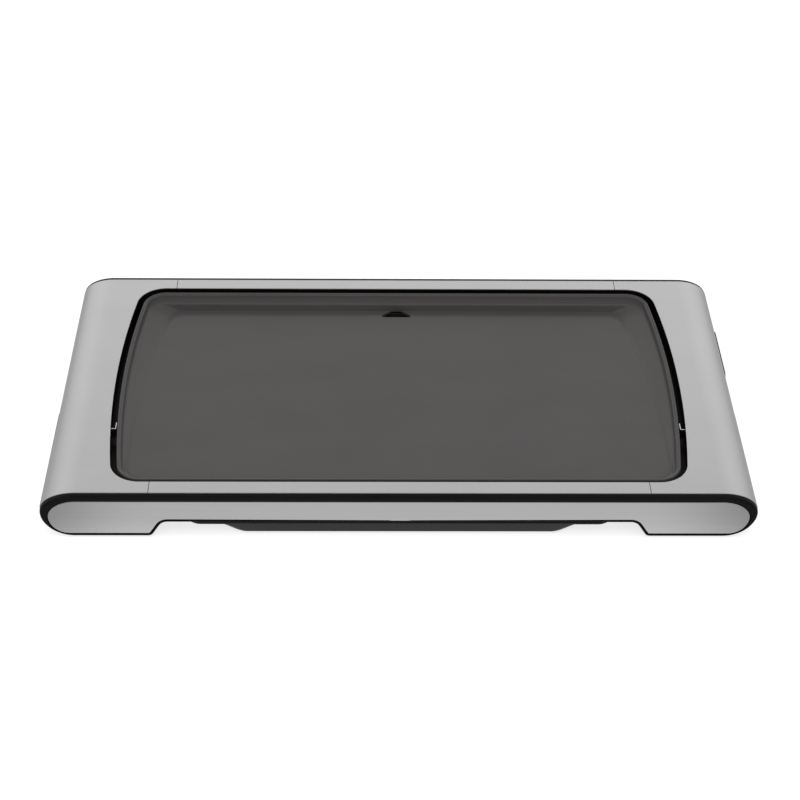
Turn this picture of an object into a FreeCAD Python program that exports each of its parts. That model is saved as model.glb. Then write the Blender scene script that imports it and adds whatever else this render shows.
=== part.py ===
"""Table-top electric griddle, built piece by piece as a parametric FreeCAD document.

Millimetres.  X runs left to right, Y from the cook towards the back, Z up; the origin is on the
table under the middle of the griddle.  Every driving dimension is a cell of the sheet "Sizes".
"""

import FreeCAD, Part
import math
import os
import Sketcher

SIZES = (
    # whole body
    ("overall_width", 619.0, "across the two rounded ends"),
    ("body_depth", 322.0, "front to back over the steel covers"),
    ("overall_height", 46.0, "table to the top of the covers"),
    ("foot_height", 2.3, "rubber feet under the housing"),
    ("end_drop", 19.5, "from the top down to the widest line of an end"),
    ("upper_curve", 31.0, "length of the curve above the widest line"),
    ("lower_curve", 27.0, "length of the curve below the widest line"),
    ("front_height", 27.9, "from the top down to the underside between the legs"),
    ("leg_inner", 217.5, "middle of the griddle to the foot of a leg's inner flank"),
    ("leg_corner", 5.0, "radius at the foot of the flank"),
    ("arch_fillet", 9.0, "radius where the flank meets the underside"),
    ("flank_angle", 58.0, "slope of the flank above the table, degrees"),
    # black housing
    ("wall", 2.5, "moulded wall of the housing"),
    ("arch_wall", 1.6, "moulded wall between the legs, where the inside is tight"),
    ("deck", 2.5, "moulded deck under the covers"),
    ("front_wall", 2.7, "moulded wall behind a fascia"),
    ("lip_depth", 5.5, "how far the front and rear lips stand out"),
    ("lip_drop", 3.3, "how far a lip's rim lies below the covers"),
    ("lip_draw", 1.8, "how far a lip's ends draw in"),
    ("lip_step", 0.4, "how far a lip's root lies below the covers"),
    ("well_wall", 2.2, "wall of the well round the plate"),
    ("well_clearance", 0.6, "well set back behind the covers' edge"),
    ("shelf", 2.0, "thickness of the shelf that carries the plate"),
    ("seat_reach", 9.0, "ledge that carries the base plate"),
    ("boss_radius", 4.0, "screw bosses"),
    ("boss_bore", 1.25, "radius of the bore in a screw boss"),
    # steel covers and fascias
    ("cover_sheet", 0.8, "thickness of the steel covers"),
    ("strip_width", 15.0, "steel in front of and behind the plate"),
    ("seam_place", 215.6, "middle of the griddle to a seam"),
    ("seam_gap", 0.4, "gap at a seam"),
    ("opening_width", 519.0, "opening in the covers, at its widest"),
    ("opening_bow", 976.0, "radius of the opening's short sides"),
    ("opening_corner", 27.0, "corner radius of the opening"),
    ("fascia_sheet", 2.0, "thickness of a fascia"),
    ("fascia_top", 5.3, "from the top of the covers down to a fascia"),
    ("fascia_end", 7.2, "from the widest line in to a fascia's end"),
    ("fascia_rise", 20.5, "widest point of a fascia's end above the housing's foot"),
    ("fascia_curve", 25.0, "length of the curve at a fascia's upper corner"),
    ("fascia_heel", 17.4, "length of the curve at a fascia's lower corner"),
    ("fascia_edge", 2.5, "black margin under a fascia"),
    ("fascia_bow", 0.8, "sag of a fascia's lower edge"),
    ("fascia_tab", 8.8, "half length of the pull mark on the lower edge"),
    ("tab_drop", 0.4, "height of the pull mark"),
    ("fascia_groove", 0.9, "groove round a fascia"),
    ("fascia_round", 0.7, "rounded rim of a fascia"),
    ("recess_depth", 1.8, "depth of the recess that takes a fascia"),
    # cooking plate
    ("gap_side", 5.6, "gap beside the plate"),
    ("gap_end", 4.6, "gap in front of and behind the plate"),
    ("rim_drop", 1.5, "rim of the plate below the covers"),
    ("rim_width", 2.0, "flat top of the rim"),
    ("rim_wall", 6.5, "height of the rim's inner wall"),
    ("rim_run", 2.4, "slope of that wall"),
    ("plate_skirt", 14.5, "height of the plate's outer wall"),
    ("plate_depth", 15.9, "rim to the plate's underside"),
    ("plate_seat", 13.0, "rim to the edge of the raised underside"),
    ("ledge_side", 1.8, "ledge at the foot of the wall, sides and front"),
    ("ledge_rear", 6.8, "ledge at the foot of the rear wall"),
    ("floor_front", 0.8, "cooking surface below the ledge at the front"),
    ("floor_rear", 5.5, "cooking surface below the ledge at the rear"),
    ("crease_front", 237.7, "half width of the cooking surface at the front"),
    ("crease_rear", 216.0, "half width of the cooking surface at the rear"),
    ("crease_bow", 1050.0, "radius of the cooking surface's short sides"),
    ("channel_width", 10.7, "grease channel behind the cooking surface"),
    ("channel_depth", 6.7, "bottom of the channel below the ledge"),
    ("channel_slope", 1.6, "slope of the channel's walls"),
    ("channel_end", 204.0, "middle of the griddle to the end of the channel"),
    ("drain_width", 28.0, "straight front edge of the drain"),
    ("drain_reach", 9.5, "depth of the drain's arch"),
    ("edge_round", 0.8, "rounded edges of the plate"),
    ("pad_gap", 1.0, "space between the shelf and the plate"),
    ("pad_clearance", 0.2, "running clearance above the pads"),
    # heating
    ("tube_radius", 3.25, "heating element"),
    ("tube_clearance", 0.3, "heating element to the plate"),
    ("tail_clearance", 0.5, "notches that the tails pass through"),
    ("loop_pitch", 60.0, "distance between the runs of the element"),
    ("loop_left", 199.0, "left end of the runs"),
    ("loop_right", 176.0, "right end of the inner bend"),
    ("return_run", 220.0, "middle of the griddle to the return run"),
    ("return_bend", 12.0, "bends of the return run"),
    ("tail_spread", 19.0, "each tail of the element from the middle of the inlet"),
    ("reflector_sheet", 0.6, "thickness of the reflector"),
    ("reflector_flange", 3.0, "reflector under the shelf"),
    ("reflector_slope", 4.0, "slope of the reflector's walls"),
    ("base_sheet", 1.0, "thickness of the base plate"),
    ("base_fit", 0.4, "clearance round a closing plate"),
    ("stack_gap", 0.2, "clearance between stacked sheets"),
    ("bracket_width", 9.0, "width of an element bracket"),
    ("bracket_place", 150.0, "middle of the griddle to an outer bracket"),
    ("bracket_ear", 2.0, "thickness of a bracket's ears"),
    # inlet at the right end
    ("inlet_middle", 71.0, "middle of the inlet behind the griddle's middle"),
    ("inlet_length", 79.0, "length of the inlet's shroud"),
    ("inlet_height", 19.0, "height of the inlet's shroud"),
    ("inlet_rise", 14.0, "middle of the inlet above the housing's foot"),
    ("inlet_proud", 2.0, "shroud beyond the widest line"),
    ("inlet_wall", 2.2, "wall of the shroud"),
    ("inlet_length_in", 28.5, "shroud from its mouth to its back"),
    ("inlet_back", 3.0, "back wall of the shroud"),
    ("inlet_fit", 0.3, "clearance of the shroud in the housing"),
    ("pin_radius", 2.4, "contact pins"),
    ("pin_base", 3.0, "radius of a contact pin in its seat"),
    ("pin_length", 15.0, "free length of a contact pin"),
    ("pin_point", 1.2, "rounded end of a contact pin"),
    ("block_length", 15.0, "terminal block, along the pins"),
    ("block_width", 54.0, "terminal block, across the pins"),
    ("block_cap", 1.5, "terminal block above the tails"),
    ("guide_radius", 4.0, "outside of the sensor guide"),
    ("guide_bore", 3.0, "bore of the sensor guide"),
    # drip tray and its runners
    ("tray_half", 185.5, "middle of the griddle to the tray's side rim"),
    ("tray_drop", 2.6, "tray's rim below the housing"),
    ("tray_sheet", 1.0, "thickness of the tray"),
    ("tray_lip", 1.9, "height of the turned-down rim"),
    ("tray_back", 2.0, "tray's front rim behind the lip"),
    ("tray_length", 317.0, "front rim to rear rim"),
    ("tray_corner", 14.0, "corner radius of the rim"),
    ("basin_half", 153.0, "half width of the basin at the rim"),
    ("basin_slope", 14.0, "how far the basin's ends slope in"),
    ("basin_front", 1.8, "rim in front of the basin"),
    ("basin_draft", 0.8, "slope of the basin's front wall"),
    ("basin_rear", 11.0, "rim behind the basin"),
    ("basin_floor", 3.5, "underside of the tray above the table"),
    ("runner_sheet", 1.0, "thickness of a runner"),
    ("runner_gap", 0.5, "running clearance of the tray in a runner"),
    ("runner_grip", 5.0, "how far a runner reaches under the rim"),
    ("runner_flange", 15.0, "runner's flange under the base plate"),
    ("runner_front", 14.0, "front end of a runner behind the covers' edge"),
    ("chute_half", 19.0, "half width of the drain chute"),
    ("chute_wall", 1.0, "wall of the drain chute"),
    ("chute_flange", 3.0, "flange of the drain chute"),
    ("chute_drop", 0.6, "foot of the chute above the tray's rim"),
    # small parts
    ("grip_proud", 0.8, "side grips beyond the widest line"),
    ("grip_height", 3.6, "height of a side grip"),
    ("grip_front", 5.0, "front end of a grip behind the covers' edge"),
    ("grip_step", 128.0, "length of the thicker front part of a grip"),
    ("grip_tail", 124.0, "length of the thinner rear part of the left grip"),
    ("pad_length", 20.0, "support pads"),
    ("pad_width", 7.0, "support pads"),
    ("clip_reach", 9.0, "plate clips, along the gap"),
    ("clip_height", 10.0, "plate clips, top to bottom"),
    ("clip_sheet", 0.8, "plate clips, sheet"),
    ("clip_place", 62.0, "middle of the griddle to the clips"),
    ("foot_radius", 9.0, "rubber feet"),
    ("foot_across", 250.0, "middle of the griddle to a foot"),
    ("foot_along", 132.0, "middle of the griddle to a foot"),
    ("screw_head", 3.5, "radius of a screw head"),
    ("screw_cap", 1.6, "height of a screw head"),
    ("screw_shank", 9.0, "length of a screw"),
    ("flat_head", 1.0, "height of a flat screw head"),
    ("rivet_head", 2.2, "radius of a rivet head"),
    ("rivet_cap", 0.5, "height of a rivet head"),
)

DOC = FreeCAD.newDocument("electric_griddle")
SHEET = DOC.addObject("Spreadsheet::Sheet", "Sizes")
NODES = []


class Size:
    """A length or an angle that carries both its value and the formula that yields it."""

    def __init__(self, value, text):
        self.value = value
        self.text = text

    def __add__(self, other):
        other = sized(other)
        return Size(self.value + other.value, "(%s + %s)" % (self.text, other.text))

    def __radd__(self, other):
        return sized(other) + self

    def __sub__(self, other):
        other = sized(other)
        return Size(self.value - other.value, "(%s - %s)" % (self.text, other.text))

    def __rsub__(self, other):
        return sized(other) - self

    def __mul__(self, other):
        other = sized(other)
        return Size(self.value * other.value, "%s * %s" % (self.text, other.text))

    def __rmul__(self, other):
        return sized(other) * self

    def __truediv__(self, other):
        other = sized(other)
        return Size(self.value / other.value, "%s / (%s)" % (self.text, other.text))

    def __neg__(self):
        return Size(-self.value, "(0 - %s)" % self.text)


def sized(number):
    """A plain number as a Size."""
    if isinstance(number, Size):
        return number
    return Size(float(number), "%.6f" % number if number >= 0 else "(0 - %.6f)" % -number)


def root(size):
    return Size(math.sqrt(size.value), "sqrt(%s)" % size.text)


def sine(angle):
    return Size(math.sin(math.radians(angle.value)), "sin(%s)" % angle.text)


def cosine(angle):
    return Size(math.cos(math.radians(angle.value)), "cos(%s)" % angle.text)


def slope(rise, run):
    """The angle, in degrees, whose tangent is rise over run."""
    return Size(math.degrees(math.atan(rise.value / run.value)), "atan(%s / (%s)) / 1 deg" % (rise.text, run.text))


def bind(thing, name, size):
    """Sets a property from a size and keeps the two tied."""
    thing.setExpression(name, sized(size).text)


def fill_sheet():
    """Writes the driving dimensions into the sheet and returns them by name."""
    found = {}
    for row, (alias, value, meaning) in enumerate(SIZES, start=1):
        SHEET.set("A%d" % row, alias)
        SHEET.set("B%d" % row, "%g" % value)
        SHEET.setAlias("B%d" % row, alias)
        SHEET.set("C%d" % row, meaning)
        found[alias] = Size(value, "Sizes.%s" % alias)
    DOC.recompute()
    return found


S = fill_sheet()

# Levels and lines that several pieces share.
HALF_WIDTH = S["overall_width"] / 2
HALF_DEPTH = S["body_depth"] / 2
TOP = S["overall_height"]
FOOT = S["foot_height"]
WIDEST = TOP - S["end_drop"]
ARCH = TOP - S["front_height"]
LIP_FACE = HALF_DEPTH + S["lip_depth"]
CAVITY_HALF = LIP_FACE - S["recess_depth"] - S["front_wall"]
OPENING_HALF = S["opening_width"] / 2
OPENING_END = HALF_DEPTH - S["strip_width"]
DECK_TOP = TOP - S["cover_sheet"]
DECK_UNDER = DECK_TOP - S["deck"]
RIM_TOP = TOP - S["rim_drop"]
LEDGE = RIM_TOP - S["rim_wall"]
SKIRT_UNDER = RIM_TOP - S["plate_skirt"]
PLATE_UNDER = RIM_TOP - S["plate_depth"]
SHELF_TOP = SKIRT_UNDER - S["pad_gap"]
SHELF_UNDER = SHELF_TOP - S["shelf"]
PLATE_HALF = OPENING_HALF - S["gap_side"]
PLATE_END = OPENING_END - S["gap_end"]
PLATE_BOW = S["opening_bow"] - S["gap_side"]
PLATE_CORNER = S["opening_corner"] - S["gap_side"]
TUBE_LEVEL = PLATE_UNDER - S["tube_clearance"] - S["tube_radius"]
BASE_UNDER = ARCH + S["stack_gap"]
BASE_TOP = BASE_UNDER + S["base_sheet"]
LEDGE_TOP = ARCH + S["arch_wall"]
REFLECTOR_UNDER = LEDGE_TOP + S["stack_gap"]
REFLECTOR_TOP = REFLECTOR_UNDER + S["reflector_sheet"]
LEG_INNER = S["leg_inner"]
FLANK = S["flank_angle"]
ARCH_END = LEG_INNER + (
    (FOOT + S["leg_corner"] - ARCH + S["arch_fillet"]) * cosine(FLANK) - S["leg_corner"] - S["arch_fillet"]
) / sine(FLANK)
SEAT_INNER = ARCH_END - S["seat_reach"]
RIVET_LINE = S["tray_half"] + S["runner_gap"] + S["runner_sheet"] - S["runner_flange"] / 2
TAILS = (S["inlet_middle"] - S["tail_spread"], S["inlet_middle"] + S["tail_spread"])
TRAY_TOP = ARCH - S["tray_drop"]
TRAY_UNDER = TRAY_TOP - S["tray_sheet"]
TRAY_FRONT = -(LIP_FACE - S["tray_back"])
TRAY_REAR = TRAY_FRONT + S["tray_length"]
INLET_LEVEL = FOOT + S["inlet_rise"]
INLET_MOUTH = HALF_WIDTH + S["inlet_proud"]
INLET_INNER = INLET_MOUTH - S["inlet_length_in"]
CHANNEL_REAR = PLATE_END - S["rim_width"] - S["rim_run"] - S["ledge_rear"]
CHANNEL_FRONT = CHANNEL_REAR - S["channel_width"]
SURFACE_FRONT = -(PLATE_END - S["rim_width"] - S["rim_run"] - S["ledge_side"] - 3)
BASE_SCREWS = ((160, 140), (57, 140), (-57, 140), (-160, 140))
LEG_SCREWS = ((277, 20), (277, 140))
RIVETS = (-100, 0, 100)


def plane_of(body, role):
    """The origin plane of a body that has the given role."""
    for feature in body.Origin.OriginFeatures:
        if feature.Role == role:
            return feature
    raise ValueError("no plane %s" % role)


class Outline:
    """One closed profile of a sketch, walked corner by corner; every corner is tied to its sizes."""

    def __init__(self, sketch, start_x, start_y):
        self.sketch = sketch
        self.corners = [(sized(start_x), sized(start_y))]
        self.steps = []

    def line(self, x, y):
        self.steps.append(("line", None))
        self.corners.append((sized(x), sized(y)))
        return self

    def arc(self, x, y, radius, left=True):
        """A circular arc to (x, y) that bends to the left or to the right."""
        self.steps.append(("arc", (sized(radius), left)))
        self.corners.append((sized(x), sized(y)))
        return self

    def quarter(self, x, y, centre_x, centre_y):
        """A quarter of an upright ellipse to (x, y)."""
        self.steps.append(("quarter", (sized(centre_x), sized(centre_y))))
        self.corners.append((sized(x), sized(y)))
        return self

    def half(self, x, y, left=True):
        """Half a circle to (x, y), straight above, below or beside the corner before."""
        self.steps.append(("half", left))
        self.corners.append((sized(x), sized(y)))
        return self

    def close(self):
        """Draws the profile; the last step runs back to the first corner."""
        self.corners.pop()
        self.draw(len(self.corners))

    def leave_open(self):
        """Draws the steps as an open path."""
        self.draw(len(self.corners))

    def draw(self, count):
        first = self.sketch.GeometryCount
        drawn = [
            drawn_curve(kind, data, self.corners[number], self.corners[(number + 1) % count])
            for number, (kind, data) in enumerate(self.steps)
        ]
        self.sketch.addGeometry([curve for curve, ends in drawn], False)
        rules = []
        ties = []
        for number, (x, y) in enumerate(self.corners):
            before = (first + (number - 1) % count, drawn[number - 1][1][1])
            if number == len(self.steps):
                ties.extend(place_point(rules, before, x, y))
                continue
            here = (first + number, drawn[number][1][0])
            ties.extend(place_point(rules, here, x, y))
            if number or len(self.steps) == count:
                rules.append(Sketcher.Constraint("Coincident", before[0], before[1], here[0], here[1]))
        for number, (kind, data) in enumerate(self.steps):
            ties.extend(self.shape_rules(rules, first + number, number, kind, data))
        offset = self.sketch.ConstraintCount
        self.sketch.addConstraint(rules)
        for number, size in ties:
            self.sketch.setExpression("Constraints[%d]" % (offset + number), size.text)

    def shape_rules(self, rules, curve, number, kind, data):
        """Adds the rules that fix a curve between its ends; returns which rule is tied to which size."""
        if kind == "arc":
            rules.append(Sketcher.Constraint("Radius", curve, data[0].value))
            return [(len(rules) - 1, data[0])]
        if kind == "half":
            start = self.corners[number]
            end = self.corners[(number + 1) % len(self.corners)]
            upright = abs(start[0].value - end[0].value) < abs(start[1].value - end[1].value)
            level = start[0] if upright else start[1]
            rules.append(Sketcher.Constraint("DistanceX" if upright else "DistanceY", -1, 1, curve, 3, level.value))
            return [(len(rules) - 1, level)]
        if kind == "quarter":
            tied = place_point(rules, (curve, 3), data[0], data[1])
            self.sketch.exposeInternalGeometry(curve)
            rules.append(Sketcher.Constraint(*first_axis(self.sketch)))
            return tied
        return []


def place_point(rules, point, x, y):
    """Adds the two distances that hold a point; returns which rule is tied to which size."""
    rules.append(Sketcher.Constraint("DistanceX", -1, 1, point[0], point[1], x.value))
    rules.append(Sketcher.Constraint("DistanceY", -1, 1, point[0], point[1], y.value))
    return [(len(rules) - 2, x), (len(rules) - 1, y)]


def first_axis(sketch):
    """The rule that keeps an ellipse upright: its longer axis, just exposed, is level or plumb."""
    longer = sketch.GeometryCount - 4
    line = sketch.Geometry[longer]
    level = abs(line.EndPoint.x - line.StartPoint.x) > abs(line.EndPoint.y - line.StartPoint.y)
    return ("Horizontal" if level else "Vertical", longer)


def drawn_curve(kind, data, start, end):
    """The curve from start to end, and which of its own ends is its start and which its end."""
    a = FreeCAD.Vector(start[0].value, start[1].value, 0)
    b = FreeCAD.Vector(end[0].value, end[1].value, 0)
    up = FreeCAD.Vector(0, 0, 1)
    if kind == "line":
        return Part.LineSegment(a, b), (1, 2)
    if kind in ("arc", "half"):
        chord = b - a
        left = data if kind == "half" else data[1]
        radius = chord.Length / 2 if kind == "half" else data[0].value
        reach = math.sqrt(max(radius ** 2 - (chord.Length / 2) ** 2, 0.0))
        side = FreeCAD.Vector(-chord.y, chord.x, 0).normalize() * (reach if left else -reach)
        centre = a + chord * 0.5 + side
        circle = Part.Circle(centre, up, radius)
        first, last = (a, b) if left else (b, a)
        low = math.atan2(first.y - centre.y, first.x - centre.x)
        high = math.atan2(last.y - centre.y, last.x - centre.x)
        if high < low:
            high += 2 * math.pi
        return Part.ArcOfCircle(circle, low, high), ((1, 2) if left else (2, 1))
    centre = FreeCAD.Vector(data[0].value, data[1].value, 0)
    wide = max(abs(a.x - centre.x), abs(b.x - centre.x))
    tall = max(abs(a.y - centre.y), abs(b.y - centre.y))
    along_x = FreeCAD.Vector(wide, 0, 0)
    along_y = FreeCAD.Vector(0, tall, 0)
    if wide >= tall:
        ellipse = Part.Ellipse(centre + along_x, centre + along_y, centre)
        turn = 0.0
    else:
        ellipse = Part.Ellipse(centre + along_y, centre - along_x, centre)
        turn = math.pi / 2
    at_a = math.atan2((a.y - centre.y) / tall, (a.x - centre.x) / wide) - turn
    at_b = math.atan2((b.y - centre.y) / tall, (b.x - centre.x) / wide) - turn
    sweep = (at_b - at_a + math.pi) % (2 * math.pi) - math.pi
    if sweep > 0:
        return Part.ArcOfEllipse(ellipse, at_a, at_a + sweep), (1, 2)
    return Part.ArcOfEllipse(ellipse, at_b, at_b - sweep), (2, 1)


class Piece:
    """One sub-part: a body, the sketches drawn in it and the features made from them."""

    def __init__(self, label, x=0, y=0, z=0):
        self.label = label
        self.body = DOC.addObject("PartDesign::Body", label)
        self.body.Label = label
        for axis, place in (("x", x), ("y", y), ("z", z)):
            if isinstance(place, Size) or place:
                bind(self.body, "Placement.Base.%s" % axis, place)
        NODES.append(self.body)

    def sketch(self, role, height=0, tilt=None):
        """An empty sketch on an origin plane, or at a height above it."""
        sketch = self.body.newObject("Sketcher::SketchObject", self.label + "_sketch")
        sketch.AttachmentSupport = [(plane_of(self.body, role), "")]
        sketch.MapMode = "FlatFace"
        sketch.AttachmentOffset = FreeCAD.Placement(
            FreeCAD.Vector(0, 0, sized(height).value), FreeCAD.Rotation(FreeCAD.Vector(1, 0, 0), 0)
        )
        if isinstance(height, Size) or height:
            bind(sketch, "AttachmentOffset.Base.z", height)
        if tilt is not None:
            sketch.AttachmentOffset.Rotation = FreeCAD.Rotation(FreeCAD.Vector(1, 0, 0), tilt.value)
            bind(sketch, "AttachmentOffset.Rotation.Angle", tilt)
        return sketch

    def feature(self, kind, sketch):
        made = self.body.newObject("PartDesign::" + kind, self.label + "_" + kind.lower())
        made.Profile = sketch
        return made

    def pad(self, sketch, length, both=False, back=False):
        made = self.feature("Pad", sketch)
        return self.run(made, length, both, back)

    def pocket(self, sketch, length, both=False, back=False):
        made = self.feature("Pocket", sketch)
        return self.run(made, length, both, back)

    def run(self, made, length, both, back):
        bind(made, "Length", length)
        if both:
            made.SideType = "Symmetric"
        made.Reversed = back
        return made

    def loft(self, first, second, cut=False):
        made = self.feature("SubtractiveLoft" if cut else "AdditiveLoft", first)
        made.Sections = [second]
        made.Ruled = True
        return made

    def mirror(self, features, role):
        made = self.body.newObject("PartDesign::Mirrored", self.label + "_mirrored")
        made.Originals = features
        made.MirrorPlane = (plane_of(self.body, role), [""])
        self.body.Tip = made
        return made

    def fillet(self, radius, chosen):
        """Rounds the edges of the piece so far that the test picks."""
        DOC.recompute()
        base = self.body.Tip
        names = ["Edge%d" % (n + 1) for n, edge in enumerate(base.Shape.Edges) if chosen(edge)]
        made = self.body.newObject("PartDesign::Fillet", self.label + "_fillet")
        made.Base = (base, names)
        bind(made, "Radius", radius)
        return made


def box_outline(sketch, low_x, high_x, low_y, high_y, corner=None):
    """A rectangle, with round corners where a radius is given."""
    if corner is None:
        profile = Outline(sketch, low_x, low_y)
        profile.line(high_x, low_y).line(high_x, high_y).line(low_x, high_y).line(low_x, low_y)
        profile.close()
        return
    profile = Outline(sketch, low_x + corner, low_y)
    profile.line(high_x - corner, low_y).arc(high_x, low_y + corner, corner)
    profile.line(high_x, high_y - corner).arc(high_x - corner, high_y, corner)
    profile.line(low_x + corner, high_y).arc(low_x, high_y - corner, corner)
    profile.line(low_x, low_y + corner).arc(low_x + corner, low_y, corner)
    profile.close()


def slot_outline(sketch, centre_x, centre_y, half_length, radius):
    """A slot with round ends, its length along the sketch's first axis."""
    left = centre_x - half_length + radius
    right = centre_x + half_length - radius
    profile = Outline(sketch, left, centre_y - radius)
    profile.line(right, centre_y - radius).half(right, centre_y + radius)
    profile.line(left, centre_y + radius).half(left, centre_y - radius)
    profile.close()


def circle_outline(sketch, x, y, radius):
    """A full circle, its centre and radius tied to their sizes."""
    x, y, radius = sized(x), sized(y), sized(radius)
    number = sketch.addGeometry(
        Part.Circle(FreeCAD.Vector(x.value, y.value, 0), FreeCAD.Vector(0, 0, 1), radius.value), False
    )
    rules = []
    ties = place_point(rules, (number, 3), x, y)
    rules.append(Sketcher.Constraint("Radius", number, radius.value))
    ties.append((len(rules) - 1, radius))
    offset = sketch.ConstraintCount
    sketch.addConstraint(rules)
    for rule, size in ties:
        sketch.setExpression("Constraints[%d]" % (offset + rule), size.text)


def bowed_outline(sketch, half_x, bow, corner, front, rear):
    """The plate's shape: straight front and rear, bowed short sides and round corners."""
    centre_x = half_x - bow
    reach = bow - corner

    def corner_at(end, toward_rear):
        level = end - corner if toward_rear else end + corner
        middle = centre_x + root(reach * reach - level * level)
        side_x = centre_x + (middle - centre_x) * bow / reach
        return middle, side_x, level * bow / reach

    front_x, front_side_x, front_side_y = corner_at(front, False)
    rear_x, rear_side_x, rear_side_y = corner_at(rear, True)
    profile = Outline(sketch, -front_x, front)
    profile.line(front_x, front)
    profile.arc(front_side_x, front_side_y, corner)
    profile.arc(rear_side_x, rear_side_y, bow)
    profile.arc(rear_x, rear, corner)
    profile.line(-rear_x, rear)
    profile.arc(-rear_side_x, rear_side_y, corner)
    profile.arc(-front_side_x, front_side_y, bow)
    profile.arc(-front_x, front, corner)
    profile.close()


def crease_outline(sketch, front_half, rear_half, bow, front_corner, rear_corner, front, rear):
    """The cooking surface: narrower at the rear, with bowed short sides."""
    inward = front_half - rear_half
    length = rear - front
    lean = slope(inward, length)
    turn = slope(root(inward * inward + length * length) / 2, bow)
    rear_lean = lean + turn
    front_lean = lean - turn
    rear_x = rear_half + rear_corner * sine(rear_lean)
    rear_y = rear - rear_corner * cosine(rear_lean)
    front_x = front_half - front_corner * sine(front_lean)
    front_y = front + front_corner * cosine(front_lean)
    rear_round = rear_corner * 1.25
    profile = Outline(sketch, -(front_half - front_corner), front)
    profile.line(front_half - front_corner, front)
    profile.arc(front_x, front_y, front_corner)
    profile.arc(rear_x, rear_y, bow)
    profile.arc(rear_half - rear_corner, rear, rear_round)
    profile.line(-(rear_half - rear_corner), rear)
    profile.arc(-rear_x, rear_y, rear_round)
    profile.arc(-front_x, front_y, bow)
    profile.arc(-(front_half - front_corner), front, front_corner)
    profile.close()


def flank_points(edge):
    """The corners of a leg's inner flank, at a distance inside the housing's own outline."""
    low = S["leg_corner"] - edge
    high = S["arch_fillet"] + edge
    across = sine(FLANK)
    along = cosine(FLANK)
    foot_level = FOOT + S["leg_corner"]
    arch_level = ARCH - S["arch_fillet"]
    return (
        (LEG_INNER, FOOT + edge),
        (LEG_INNER - low * across, foot_level - low * along),
        (ARCH_END + high * across, arch_level + high * along),
        (ARCH_END, ARCH + edge),
    )


def right_end(profile, top, wide, widest, upper, lower, edge, step=0):
    """From the top, round the right end and down to the foot of the right leg."""
    profile.quarter(wide - step, widest, wide - upper, widest)
    if step:
        profile.line(wide, widest)
    profile.quarter(wide - lower, FOOT + edge, wide - lower, widest)


def left_end(profile, top, wide, widest, upper, lower, edge, step=0):
    """From the foot of the left leg, round the left end and up to the top."""
    profile.quarter(-wide, widest, -(wide - lower), widest)
    if step:
        profile.line(-(wide - step), widest)
    profile.quarter(-(wide - upper), top, -(wide - upper), widest)


def end_outline(sketch, top, wide, widest, upper, lower, edge, step=0, sag=None):
    """The griddle seen from the front: round ends, two legs and the raised middle."""
    foot, flank_low, flank_high, arch = flank_points(edge)
    profile = Outline(sketch, wide - upper, top)
    right_end(profile, top, wide, widest, upper, lower, edge, step)
    profile.line(*foot)
    profile.arc(flank_low[0], flank_low[1], S["leg_corner"] - edge, left=False)
    profile.line(*flank_high)
    profile.arc(arch[0], arch[1], S["arch_fillet"] + edge)
    if sag is not None:
        bow, tab, drop = sag
        profile.line(tab, arch[1] - bow).line(tab - drop, arch[1] - bow - drop)
        profile.line(drop - tab, arch[1] - bow - drop).line(-tab, arch[1] - bow)
    profile.line(-arch[0], arch[1])
    profile.arc(-flank_high[0], flank_high[1], S["arch_fillet"] + edge)
    profile.line(-flank_low[0], flank_low[1])
    profile.arc(-foot[0], foot[1], S["leg_corner"] - edge, left=False)
    profile.line(-(wide - lower), FOOT + edge)
    left_end(profile, top, wide, widest, upper, lower, edge, step)
    profile.line(wide - upper, top)
    profile.close()


def cavity_outline(sketch):
    """The hollow of the housing, open below at both legs and in the middle."""
    wall, skin = S["wall"], S["arch_wall"]
    wide = HALF_WIDTH - wall
    upper = S["upper_curve"] - wall
    lower = S["lower_curve"] - wall
    foot, flank_low, flank_high, arch = flank_points(skin)
    below = FOOT - wall
    profile = Outline(sketch, wide - upper, DECK_UNDER)
    right_end(profile, DECK_UNDER, wide, WIDEST, upper, lower, wall)
    profile.line(wide - lower, below).line(LEG_INNER, below).line(*foot)
    profile.arc(flank_low[0], flank_low[1], S["leg_corner"] - skin, left=False)
    profile.line(*flank_high)
    profile.arc(arch[0], arch[1], S["arch_fillet"] + skin)
    profile.line(SEAT_INNER, arch[1]).line(SEAT_INNER, ARCH - skin)
    profile.line(-SEAT_INNER, ARCH - skin).line(-SEAT_INNER, arch[1])
    profile.line(-arch[0], arch[1])
    profile.arc(-flank_high[0], flank_high[1], S["arch_fillet"] + skin)
    profile.line(-flank_low[0], flank_low[1])
    profile.arc(-foot[0], foot[1], S["leg_corner"] - skin, left=False)
    profile.line(-LEG_INNER, below).line(-(wide - lower), below).line(-(wide - lower), FOOT + wall)
    left_end(profile, DECK_UNDER, wide, WIDEST, upper, lower, wall)
    profile.line(wide - upper, DECK_UNDER)
    profile.close()


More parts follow.
